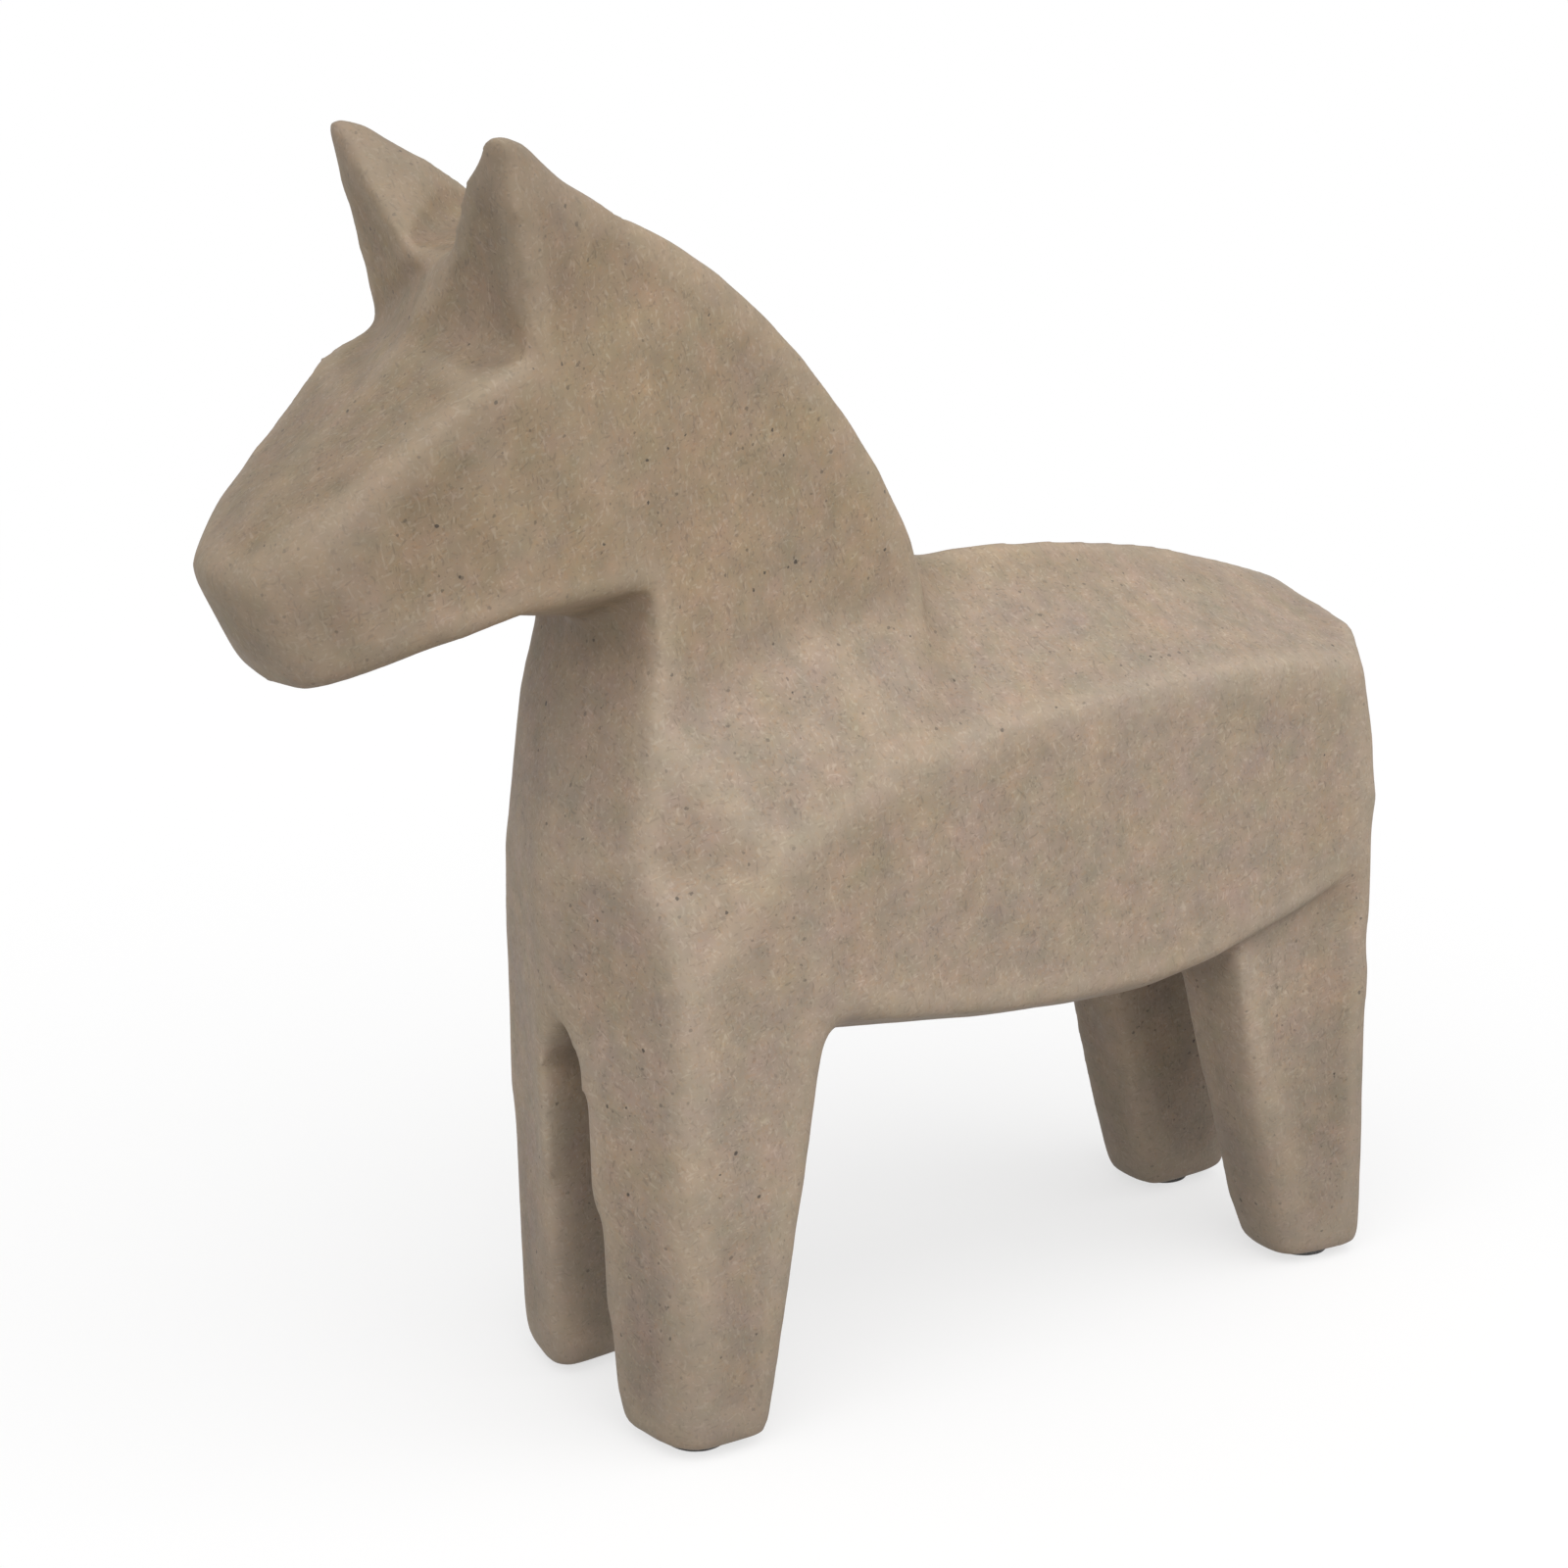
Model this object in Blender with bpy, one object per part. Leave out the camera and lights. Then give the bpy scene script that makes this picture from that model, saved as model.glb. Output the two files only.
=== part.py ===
# Faceted standing horse, a table ornament of moulded stone-powder resin.
# Two half shells meet on the middle plane, with wire in the legs and felt under the feet.
# Metres, +Z up. The horse looks towards -Y and its left side is +X.
# The origin is on the surface it stands on, below the middle of its length and width.

import bpy
import bmesh
from mathutils import Matrix, Vector

# Half shells: their wall and the bond line between them
WALL = 0.006
BOND_GAP = 0.0003

# Space around every piece that is set into another
CLEARANCE = 0.0003

# Rubbing down of the facet edges: grain of the surface, strokes, and share of it kept.
# No corner lies on a whole multiple of the grain in x, y and z at once: that leaves a stray speck.
EDGE_GRAIN = 0.0015
EDGE_STROKES = 13
STROKE_WEIGHT = 0.5
SURFACE_KEPT = 0.045

# More strokes along the worn lines, in full up to one distance and fading out to another
WORN_STROKES = 36
WORN_FULL = 0.004
WORN_END = 0.012

# Cuts along each edge of the strips on crest and back, so that a twisted strip has no crease
STRIP_CUTS = 3

# Hollow inside, coarser and rounder than the outside
HOLLOW_GRAIN = 0.003
HOLLOW_STROKES = 12
HOLLOW_KEPT = 0.15

# Felt pads under the feet
PAD_THICKNESS = 0.001
PAD_RADIUS = 0.0055
FRONT_PAD = (0.0205, -0.0400)
HIND_PAD = (0.0210, 0.1015)

# Feet: height of the flat sole over the ground, and what is sanded off to make it flat
SOLE = PAD_THICKNESS + CLEARANCE
SANDED_OFF = 0.0005
FOOT_END = SOLE - SANDED_OFF

# Wire in the legs, from a point in the foot to a point in the hollow
ROD_RADIUS = 0.002
FRONT_ROD = [(0.0205, -0.0400, 0.010), (0.0180, -0.0360, 0.086)]
HIND_ROD = [(0.0210, 0.1010, 0.010), (0.0170, 0.0925, 0.084)]

# Locating pins across the bond line, as (y, z) in the middle of the wall
PIN_RADIUS = 0.00125
PIN_LENGTH = 0.009
PINS = {
    "crest": (-0.0200, 0.1880),
    "breast": (-0.0505, 0.1180),
    "belly": (0.0650, 0.0670),
    "rump": (0.1095, 0.1000),
}

# Filler plug in the pour hole under the belly
PLUG_Y = 0.0420
PLUG_RADIUS = 0.006
PLUG_BOTTOM = 0.0645
PLUG_TOP = 0.0695

# Sides of the round pieces, and half the width of the blocks that trim the form
ROD_SIDES = 16
PIN_SIDES = 12
PAD_SIDES = 32
PLUG_SIDES = 32
STOCK = 0.3

# Resin bead over the bond line, inside the hollow
BEAD_WIDTH = 0.008
BEAD_THICKNESS = 0.0025

# Colours
SHELL_COLOUR = (0.33, 0.26, 0.19)
BEAD_COLOUR = (0.36, 0.27, 0.16)
FILLER_COLOUR = (0.30, 0.25, 0.20)
WIRE_COLOUR = (0.35, 0.33, 0.31)
PIN_COLOUR = (0.42, 0.40, 0.37)
FELT_COLOUR = (0.05, 0.045, 0.04)

# Half widths of the main facets
BODY_SIDE = 0.0315
FLANK_SIDE = 0.032
BELLY_SIDE = 0.019
THIGH_SIDE = 0.0285

# The sides of the neck are flat and draw together towards the withers
POLL_SIDE = 0.023
THROAT_SIDE = 0.0211
WITHER_SIDE = 0.0122

# Corners on the middle plane, as (y, z), from between the ears round the back to the face
MIDDLE = {
    "ear_valley": (-0.0732, 0.2030),
    "poll": (-0.0500, 0.2100),
    "wither": (0.0163, 0.1472),
    "dock": (0.1073, 0.1324),
    "rump": (0.1135, 0.1060),
    "crotch_rear": (0.1130, 0.0680),
    "crotch": (0.0755, 0.0640),
    "belly_mid": (0.0280, 0.0645),
    "belly_front": (-0.0175, 0.0690),
    "leg_arch": (-0.0560, 0.0745),
    "chest": (-0.0580, 0.1020),
    "breast": (-0.0525, 0.1260),
    "throat": (-0.0480, 0.1430),
    "jaw_middle": (-0.0685, 0.1460),
    "chin": (-0.1045, 0.1385),
    "nose": (-0.1145, 0.1585),
    "bridge": (-0.1050, 0.1675),
    "forehead": (-0.0880, 0.1815),
    "brow": (-0.0772, 0.1922),
}

# Corners of the horse's left side, as (x, y, z); its right side mirrors them
SIDE = {
    "poll_edge": (POLL_SIDE, -0.0510, 0.2095),
    "wither_edge": (WITHER_SIDE, 0.0150, 0.1415),
    "neck_front": (THROAT_SIDE, -0.0456, 0.1399),
    "neck_middle": (0.0167, -0.0168, 0.1418),
    "breast_edge": (0.0223, -0.0482, 0.1280),
    "chest_edge": (0.0222, -0.0510, 0.1070),
    "leg_edge": (0.0270, -0.0497, 0.0970),
    "leg_ridge": (0.0310, -0.0478, 0.0820),
    "shoulder_tip": (0.0335, -0.0298, 0.1072),
    "ridge_front": (BODY_SIDE, 0.0000, 0.1195),
    "hip": (BODY_SIDE, 0.1014, 0.1220),
    "dock_edge": (0.0240, 0.1058, 0.1286),
    "hip_rear": (BODY_SIDE, 0.1055, 0.1060),
    "thigh_rear": (BODY_SIDE, 0.1061, 0.0840),
    "flank_front": (FLANK_SIDE, -0.0190, 0.0765),
    "belly_edge_front": (BELLY_SIDE, -0.0175, 0.0700),
    "belly_edge_rear": (BELLY_SIDE, 0.0600, 0.0624),
    "front_arch": (0.0065, -0.0545, 0.0655),
    "front_arch_rear": (0.0100, -0.0195, 0.0650),
    "thigh_front": (THIGH_SIDE, 0.0738, 0.0716),
    "thigh_back": (THIGH_SIDE, 0.0940, 0.0775),
    "hind_arch": (0.0110, 0.0745, 0.0620),
    "hind_arch_rear": (0.0090, 0.1130, 0.0610),
    "front_foot_inner": (0.0094, -0.0474, FOOT_END),
    "front_toe_inner": (0.0124, -0.0511, FOOT_END),
    "front_toe_outer": (0.0258, -0.0487, FOOT_END),
    "front_foot_outer": (0.0301, -0.0442, FOOT_END),
    "front_foot_heel": (0.0305, -0.0299, FOOT_END),
    "front_foot_heel_inner": (0.0110, -0.0300, FOOT_END),
    "front_knee": (0.0308, -0.0476, 0.0400),
    "front_knee_inner": (0.0078, -0.0531, 0.0350),
    "hind_foot_inner": (0.0120, 0.0920, FOOT_END),
    "hind_toe_outer": (0.0246, 0.0904, FOOT_END),
    "hind_foot_outer": (0.0289, 0.0937, FOOT_END),
    "hind_foot_heel": (0.0312, 0.1099, FOOT_END),
    "hind_foot_heel_inner": (0.0125, 0.1140, FOOT_END),
    "hind_knee": (0.0287, 0.0812, 0.0350),
    "brow_edge": (0.0275, -0.0702, 0.1902),
    "cheek": (0.0270, -0.0802, 0.1858),
    "cheek_low": (0.0221, -0.0946, 0.1730),
    "bridge_edge": (0.0195, -0.1041, 0.1655),
    "nose_edge": (0.0115, -0.1121, 0.1574),
    "chin_edge": (0.0130, -0.1032, 0.1396),
    "jaw_front": (0.0190, -0.0900, 0.1445),
    "jaw": (0.0215, -0.0685, 0.1505),
    "jaw_rear": (THROAT_SIDE, -0.0465, 0.1520),
    "ear_inner": (0.0060, -0.0745, 0.2035),
    "ear_edge": (0.0294, -0.0735, 0.2080),
    "ear_top_outer": (0.0314, -0.0771, 0.2240),
    "ear_top_inner": (0.0236, -0.0786, 0.2231),
    "ear_top_back": (0.0284, -0.0706, 0.2229),
    "ear_top_back_inner": (0.0234, -0.0714, 0.2227),
    "ear_back": (0.0262, -0.0637, 0.2151),
    "ear_back_inner": (0.0187, -0.0636, 0.2168),
}

# Curved lines: start corner, end corner, (x, y, z) handles between them, and points added
CURVES = {
    "crest": ("poll", "wither", [(0.0, -0.0274, 0.2027), (0.0, 0.0043, 0.1760)], 7),
    "crest_edge": (
        "poll_edge",
        "wither_edge",
        [(0.0195, -0.0284, 0.2012), (0.0146, 0.0014, 0.1740)],
        7,
    ),
    "spine": ("wither", "dock", [(0.0, 0.0480, 0.1472), (0.0, 0.0800, 0.1432)], 4),
    "ridge": (
        "ridge_front",
        "hip",
        [(BODY_SIDE, 0.0330, 0.1245), (BODY_SIDE, 0.0730, 0.1270)],
        4,
    ),
    "flank": (
        "flank_front",
        "thigh_rear",
        [(FLANK_SIDE, 0.0220, 0.0690), (FLANK_SIDE, 0.0640, 0.0620)],
        6,
    ),
    "belly_edge": (
        "belly_edge_front",
        "belly_edge_rear",
        [(BELLY_SIDE, 0.0080, 0.0665), (BELLY_SIDE, 0.0335, 0.0621)],
        3,
    ),
}

# Facets of the left side as loops of corners, counter-clockwise seen from outside
HEAD_AND_NECK = [
    "poll_edge brow_edge jaw_rear crest_edge_3 crest_edge_2 crest_edge_1",
    "crest_edge_3 jaw_rear neck_front crest_edge_5 crest_edge_4",
    "crest_edge_5 neck_front neck_middle crest_edge_7 crest_edge_6",
    "crest_edge_7 neck_middle wither_edge",
    "brow_edge jaw jaw_rear",
    "brow_edge cheek cheek_low bridge_edge jaw_front jaw",
    "bridge_edge nose_edge chin_edge jaw_front",
    "brow forehead cheek brow_edge",
    "forehead bridge bridge_edge cheek_low cheek",
    "bridge nose nose_edge bridge_edge",
    "nose chin chin_edge nose_edge",
    "chin jaw_middle jaw jaw_front chin_edge",
    "jaw_middle throat neck_front jaw_rear jaw",
    "ear_valley ear_inner poll_edge poll",
    "brow brow_edge ear_inner ear_valley",
]
TRUNK = [
    "neck_front breast_edge shoulder_tip ridge_front neck_middle",
    "neck_middle ridge_front wither_edge",
    "wither_edge ridge_front wither",
    "dock hip dock_edge",
    "hip_rear rump dock dock_edge hip",
    "throat breast breast_edge neck_front",
    "breast chest chest_edge breast_edge",
    "breast_edge chest_edge shoulder_tip",
    "chest_edge leg_edge shoulder_tip",
    "chest leg_arch front_arch leg_ridge leg_edge chest_edge",
    "shoulder_tip leg_edge leg_ridge flank_front",
    "shoulder_tip flank_front flank_1 flank_2 flank_3 ridge_2 ridge_1 ridge_front",
    "ridge_2 flank_3 flank_4 flank_5 flank_6 thigh_rear hip_rear hip ridge_4 ridge_3",
    "flank_front belly_edge_front belly_edge_1 flank_1",
    "flank_1 belly_edge_1 belly_edge_2 flank_2",
    "flank_2 belly_edge_2 belly_edge_3 flank_3",
    "flank_3 belly_edge_3 belly_edge_rear flank_4",
    "belly_edge_front belly_front belly_mid belly_edge_2 belly_edge_1",
    "belly_mid crotch hind_arch belly_edge_rear belly_edge_3 belly_edge_2",
    "flank_4 belly_edge_rear hind_arch thigh_front flank_5",
    "flank_5 thigh_front thigh_back flank_6",
    "flank_6 thigh_back thigh_rear",
    "leg_arch belly_front front_arch_rear front_arch",
    "belly_front belly_edge_front front_arch_rear",
    "crotch crotch_rear hind_arch_rear hind_arch",
]
LEGS_AND_EARS = [
    "ear_top_outer ear_top_back ear_top_back_inner ear_top_inner",
    "ear_top_outer ear_edge brow_edge poll_edge ear_back ear_top_back",
    "ear_top_inner ear_inner brow_edge ear_edge ear_top_outer",
    "ear_top_back ear_back ear_back_inner ear_top_back_inner",
    "ear_back poll_edge ear_back_inner",
    "ear_top_inner ear_top_back_inner ear_back_inner poll_edge ear_inner",
    "leg_ridge front_arch front_knee_inner front_toe_inner front_toe_outer front_knee",
    "front_knee front_toe_outer front_foot_outer",
    "front_knee_inner front_foot_inner front_toe_inner",
    "leg_ridge front_knee flank_front",
    "flank_front front_knee front_foot_outer front_foot_heel",
    "flank_front front_foot_heel front_foot_heel_inner front_arch_rear belly_edge_front",
    "front_arch front_arch_rear front_foot_heel_inner front_foot_inner front_knee_inner",
    "front_toe_inner front_foot_inner front_foot_heel_inner front_foot_heel front_foot_outer "
    "front_toe_outer",
    "thigh_front hind_arch hind_foot_inner hind_toe_outer hind_knee",
    "hind_knee hind_toe_outer hind_foot_outer",
    "thigh_front hind_knee hind_foot_outer hind_foot_heel thigh_rear thigh_back",
    "thigh_rear hind_foot_heel hind_foot_heel_inner hind_arch_rear crotch_rear rump hip_rear",
    "hind_arch hind_arch_rear hind_foot_heel_inner hind_foot_inner",
    "hind_foot_inner hind_foot_heel_inner hind_foot_heel hind_foot_outer hind_toe_outer",
]

# Facets that close the hollow inside where the ears and legs begin
HOLLOW_ENDS = [
    "brow_edge poll_edge ear_inner",
    "leg_ridge front_arch front_arch_rear belly_edge_front flank_front",
    "thigh_front hind_arch hind_arch_rear thigh_rear thigh_back",
    "thigh_rear hind_arch_rear crotch_rear rump hip_rear",
]
STRIPS = [("crest", "crest_edge"), ("spine", "ridge")]

# Lines where feet, legs, muzzle, ear tips and croup are worn rounder than the other edges
WORN_LINES = [
    "front_toe_inner front_foot_inner front_foot_heel_inner front_foot_heel front_foot_outer "
    "front_toe_outer front_toe_inner",
    "hind_foot_inner hind_foot_heel_inner hind_foot_heel hind_foot_outer hind_toe_outer",
    "front_knee front_foot_outer",
    "front_knee_inner front_foot_inner",
    "flank_front front_foot_heel",
    "hind_knee hind_foot_outer",
    "thigh_rear hind_foot_heel",
    "ear_top_outer ear_top_back ear_top_back_inner ear_top_inner ear_top_outer",
    "bridge bridge_edge nose_edge nose chin chin_edge nose_edge",
    "chin_edge jaw_front",
    "throat breast chest leg_arch",
    "spine_4 dock dock_edge hip hip_rear",
    "wither ridge_front wither_edge",
]


def curve_point(start, handles, end, t):
    """Point at t on the cubic curve through start and end with two handles."""
    points = [Vector(start), Vector(handles[0]), Vector(handles[1]), Vector(end)]
    while len(points) > 1:
        points = [a.lerp(b, t) for a, b in zip(points, points[1:])]
    return points[0]


def all_corners():
    """Every named corner of the left side, with the points added on the curves."""
    corners = {name: Vector((0.0, y, z)) for name, (y, z) in MIDDLE.items()}
    corners.update({name: Vector(place) for name, place in SIDE.items()})
    for name, (start, end, handles, count) in CURVES.items():
        for step in range(1, count + 1):
            t = step / (count + 1)
            point = curve_point(corners[start], handles, corners[end], t)
            corners[f"{name}_{step}"] = point
    return corners


def line_names(curve):
    """Names of the corners along a curve, its ends included."""
    start, end, _, count = CURVES[curve]
    return [start] + [f"{curve}_{step}" for step in range(1, count + 1)] + [end]


def left_facets(groups):
    """Facets of the left side as lists of corner names."""
    facets = [loop.split() for group in groups for loop in group]
    for first, second in STRIPS:
        a = line_names(first)
        b = line_names(second)
        facets += [[a[i], b[i], b[i + 1], a[i + 1]] for i in range(len(a) - 1)]
    return facets


def is_on_strip(loop):
    """Whether a facet lies between the two lines of a strip."""
    return any(set(loop) <= {*line_names(a), *line_names(b)} for a, b in STRIPS)


def facet_mesh(name, groups):
    """Closed mesh of the given facets and their mirror images."""
    corners = all_corners()
    bm = bmesh.new()
    points = {}

    def vertex(corner, side):
        place = corners[corner]
        key = (corner, side if place.x > 0.0 else 1)
        if key not in points:
            points[key] = bm.verts.new((place.x * side, place.y, place.z))
        return points[key]

    twisted = []
    for loop in left_facets(groups):
        left = bm.faces.new([vertex(corner, 1) for corner in loop])
        right = bm.faces.new([vertex(corner, -1) for corner in reversed(loop)])
        if is_on_strip(loop):
            twisted += [left, right]
    edges = list({edge for face in twisted for edge in face.edges})
    bmesh.ops.subdivide_edges(bm, edges=edges, cuts=STRIP_CUTS, use_grid_fill=True)
    return finished_mesh(name, bm)


def finished_mesh(name, bm):
    """Mesh from a bmesh, which is used up."""
    bmesh.ops.recalc_face_normals(bm, faces=bm.faces)
    mesh = bpy.data.meshes.new(name)
    bm.to_mesh(mesh)
    bm.free()
    return mesh


def add_box(bm, low, high):
    """Box between two opposite corners."""
    low = Vector(low)
    high = Vector(high)
    size = Matrix.Diagonal((high - low).to_4d())
    size[3][3] = 1.0
    bmesh.ops.create_cube(bm, size=1.0, matrix=Matrix.Translation((low + high) / 2.0) @ size)


def add_cylinder(bm, start, end, radius, sides):
    """Round bar between two points, smooth around and flat at the ends."""
    start = Vector(start)
    end = Vector(end)
    axis = end - start
    turn = axis.to_track_quat("Z", "Y").to_matrix().to_4x4()
    made = bmesh.ops.create_cone(
        bm,
        cap_ends=True,
        segments=sides,
        radius1=radius,
        radius2=radius,
        depth=axis.length,
        matrix=Matrix.Translation((start + end) / 2.0) @ turn,
    )
    for face in {face for vert in made["verts"] for face in vert.link_faces}:
        face.smooth = len(face.verts) == 4


def add_object(name, mesh, material=None):
    """Object in the scene at the origin; one without a material is a hidden cutter."""
    obj = bpy.data.objects.new(name, mesh)
    bpy.context.scene.collection.objects.link(obj)
    if material is None:
        obj.hide_render = True
        obj.display_type = "WIRE"
    else:
        mesh.materials.append(material)
    return obj


def add_material(name, colour, roughness, metallic=0.0):
    """Plain surface of one colour."""
    material = bpy.data.materials.new(name)
    material.use_nodes = True
    shader = material.node_tree.nodes["Principled BSDF"]
    shader.inputs["Base Color"].default_value = (*colour, 1.0)
    shader.inputs["Roughness"].default_value = roughness
    shader.inputs["Metallic"].default_value = metallic
    material.diffuse_color = (*colour, 1.0)
    return material


def add_strokes(obj, name, strokes):
    """Each stroke moves every point towards the mean of its neighbours."""
    rub = obj.modifiers.new(name, "SMOOTH")
    rub.factor = STROKE_WEIGHT
    rub.iterations = strokes
    return rub


def add_wear(obj, lines):
    """More strokes on the surface close to the worn lines."""
    obj.vertex_groups.new(name="worn")
    mark = obj.modifiers.new("mark", "VERTEX_WEIGHT_EDIT")
    mark.vertex_group = "worn"
    mark.default_weight = 1.0
    mark.use_add = True
    mark.add_threshold = 0.0
    fade = obj.modifiers.new("fade", "VERTEX_WEIGHT_PROXIMITY")
    fade.vertex_group = "worn"
    fade.target = lines
    fade.proximity_mode = "GEOMETRY"
    fade.proximity_geometry = {"EDGE"}
    fade.min_dist = WORN_END
    fade.max_dist = WORN_FULL
    fade.falloff_type = "SMOOTH"
    add_strokes(obj, "wear", WORN_STROKES).vertex_group = "worn"


def add_rubbing(obj, grain, strokes, kept, worn=None):
    """Even grid over the surface, rubbed soft, then thinned out again."""
    even = obj.modifiers.new("even", "REMESH")
    even.mode = "VOXEL"
    even.voxel_size = grain
    even.use_smooth_shade = True
    add_strokes(obj, "rub", strokes)
    if worn:
        add_wear(obj, worn)
    thin = obj.modifiers.new("thin", "DECIMATE")
    thin.ratio = kept
    thin.use_symmetry = True
    thin.symmetry_axis = "X"


def add_cut(obj, cutter, operation="DIFFERENCE"):
    """Cut with another object, by the exact method."""
    cut = obj.modifiers.new(cutter.name, "BOOLEAN")
    cut.operation = operation
    cut.object = cutter
    cut.solver = "EXACT"


def mirrored(place, side):
    """Point on the left (side 1) or on the right (side -1)."""
    return Vector((place[0] * side, place[1], place[2]))


def add_hollow(name, depth, play=0.0):
    """Rounded form at a depth below the surface of head, neck and trunk, with play around it."""
    hollow = add_object(name, facet_mesh(name, [HEAD_AND_NECK, TRUNK, HOLLOW_ENDS]))
    add_rubbing(hollow, HOLLOW_GRAIN, HOLLOW_STROKES, 1.0)
    add_sinking(hollow, depth)
    add_rubbing(hollow, HOLLOW_GRAIN, HOLLOW_STROKES, HOLLOW_KEPT)
    add_sinking(hollow, play)
    return hollow


def add_sinking(obj, depth):
    """Move the whole surface inwards."""
    sink = obj.modifiers.new("sink", "DISPLACE")
    sink.strength = -depth
    sink.mid_level = 0.0


def add_worn_lines():
    """Guide object with the worn lines of both sides."""
    corners = all_corners()
    bm = bmesh.new()
    for line in WORN_LINES:
        for side in (1, -1):
            points = [bm.verts.new(mirrored(corners[corner], side)) for corner in line.split()]
            for first, second in zip(points, points[1:]):
                bm.edges.new((first, second))
    return add_object("worn_lines", finished_mesh("worn_lines", bm))


def add_half(name, side, worn, cutters):
    """One half shell, cut out of the rubbed form of the whole horse."""
    resin = add_material(f"{name}_resin", SHELL_COLOUR, 0.75)
    shell = add_object(name, facet_mesh(name, [HEAD_AND_NECK, TRUNK, LEGS_AND_EARS]), resin)
    add_rubbing(shell, EDGE_GRAIN, EDGE_STROKES, SURFACE_KEPT, worn)
    near = BOND_GAP / 2.0 * side
    far = -STOCK * side
    low = (min(near, far), -STOCK, -STOCK)
    high = (max(near, far), STOCK, STOCK)
    add_cut(shell, add_block(f"{name}_trim", low, high))
    for cutter in cutters:
        add_cut(shell, cutter)


def add_block(name, low, high):
    """Hidden cutter in the shape of a box."""
    bm = bmesh.new()
    add_box(bm, low, high)
    return add_object(name, finished_mesh(name, bm))


def add_drillings():
    """Bores for the wires and pins and the pour hole, in one cutter."""
    bm = bmesh.new()
    for side in (1, -1):
        for start, end in (FRONT_ROD, HIND_ROD):
            low = mirrored(start, side)
            high = mirrored(end, side)
            play = (high - low).normalized() * CLEARANCE
            add_cylinder(bm, low - play, high + play, ROD_RADIUS + CLEARANCE, ROD_SIDES)
    reach = PIN_LENGTH / 2.0 + CLEARANCE
    for y, z in PINS.values():
        add_cylinder(bm, (-reach, y, z), (reach, y, z), PIN_RADIUS + CLEARANCE, PIN_SIDES)
    low = (0.0, PLUG_Y, PLUG_BOTTOM - WALL)
    high = (0.0, PLUG_Y, PLUG_TOP + WALL)
    add_cylinder(bm, low, high, PLUG_RADIUS + CLEARANCE, PLUG_SIDES)
    return add_object("drillings", finished_mesh("drillings", bm))


def add_bar(name, start, end, radius, sides, material):
    """Round piece between two points."""
    bm = bmesh.new()
    add_cylinder(bm, start, end, radius, sides)
    return add_object(name, finished_mesh(name, bm), material)


def add_leg_pieces(end, rod, pad):
    """Wires in the two front or the two hind legs, and felt under their feet."""
    for hand, side in (("left", 1), ("right", -1)):
        name = f"leg_rod_{end}_{hand}"
        steel = add_material(f"{name}_steel", WIRE_COLOUR, 0.45, 1.0)
        low = mirrored(rod[0], side)
        high = mirrored(rod[1], side)
        add_bar(name, low, high, ROD_RADIUS, ROD_SIDES, steel)
        name = f"foot_pad_{end}_{hand}"
        felt = add_material(f"{name}_felt", FELT_COLOUR, 0.95)
        bottom = mirrored((*pad, 0.0), side)
        top = mirrored((*pad, PAD_THICKNESS), side)
        add_bar(name, bottom, top, PAD_RADIUS, PAD_SIDES, felt)


def add_pins():
    """Locating pins across the bond line."""
    reach = PIN_LENGTH / 2.0
    for place, (y, z) in PINS.items():
        name = f"locating_pin_{place}"
        steel = add_material(f"{name}_steel", PIN_COLOUR, 0.35, 1.0)
        add_bar(name, (-reach, y, z), (reach, y, z), PIN_RADIUS, PIN_SIDES, steel)


def add_plug():
    """Filler in the pour hole."""
    filler = add_material("plug_filler", FILLER_COLOUR, 0.85)
    bottom = (0.0, PLUG_Y, PLUG_BOTTOM)
    top = (0.0, PLUG_Y, PLUG_TOP)
    add_bar("belly_plug", bottom, top, PLUG_RADIUS, PLUG_SIDES, filler)


def add_bead(drillings):
    """Band of resin over the bond line, all round the inside of the hollow."""
    bead = add_hollow("seam_bead", WALL, CLEARANCE)
    bead.hide_render = False
    bead.display_type = "TEXTURED"
    bead.data.materials.append(add_material("bead_resin", BEAD_COLOUR, 0.5))
    half = BEAD_WIDTH / 2.0
    band = add_block("bead_band", (-half, -STOCK, 0.0), (half, STOCK, STOCK))
    add_cut(bead, band, "INTERSECT")
    add_cut(bead, add_hollow("bead_inside", WALL + BEAD_THICKNESS))
    add_cut(bead, drillings)


def build():
    """Every piece of the horse."""
    for old in list(bpy.data.objects):
        bpy.data.objects.remove(old)
    hollow = add_hollow("hollow", WALL)
    drillings = add_drillings()
    sanding = add_block("sanding", (-STOCK, -STOCK, -STOCK), (STOCK, STOCK, SOLE))
    worn = add_worn_lines()
    add_half("left_shell", 1, worn, [sanding, drillings, hollow])
    add_half("right_shell", -1, worn, [sanding, drillings, hollow])
    add_leg_pieces("front", FRONT_ROD, FRONT_PAD)
    add_leg_pieces("hind", HIND_ROD, HIND_PAD)
    add_pins()
    add_plug()
    add_bead(drillings)


build()
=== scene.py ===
# %% [markdown]
# # A faceted horse of stone-powder resin
# This lesson builds the looks of one small table ornament: a standing horse with flat facets and
# hand-rubbed edges, in what looks like resin filled with stone powder. The solids of the model are
# loaded first and never change. Everything made here is fitted round them, in metres, with the
# horse looking towards -Y and its left side on +X.

# %% The solids
import math

import bmesh
import bpy
import numpy as np
from mathutils import Matrix, Vector, noise
from mathutils.bvhtree import BVHTree
from mathutils.interpolate import poly_3d_calc


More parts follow.
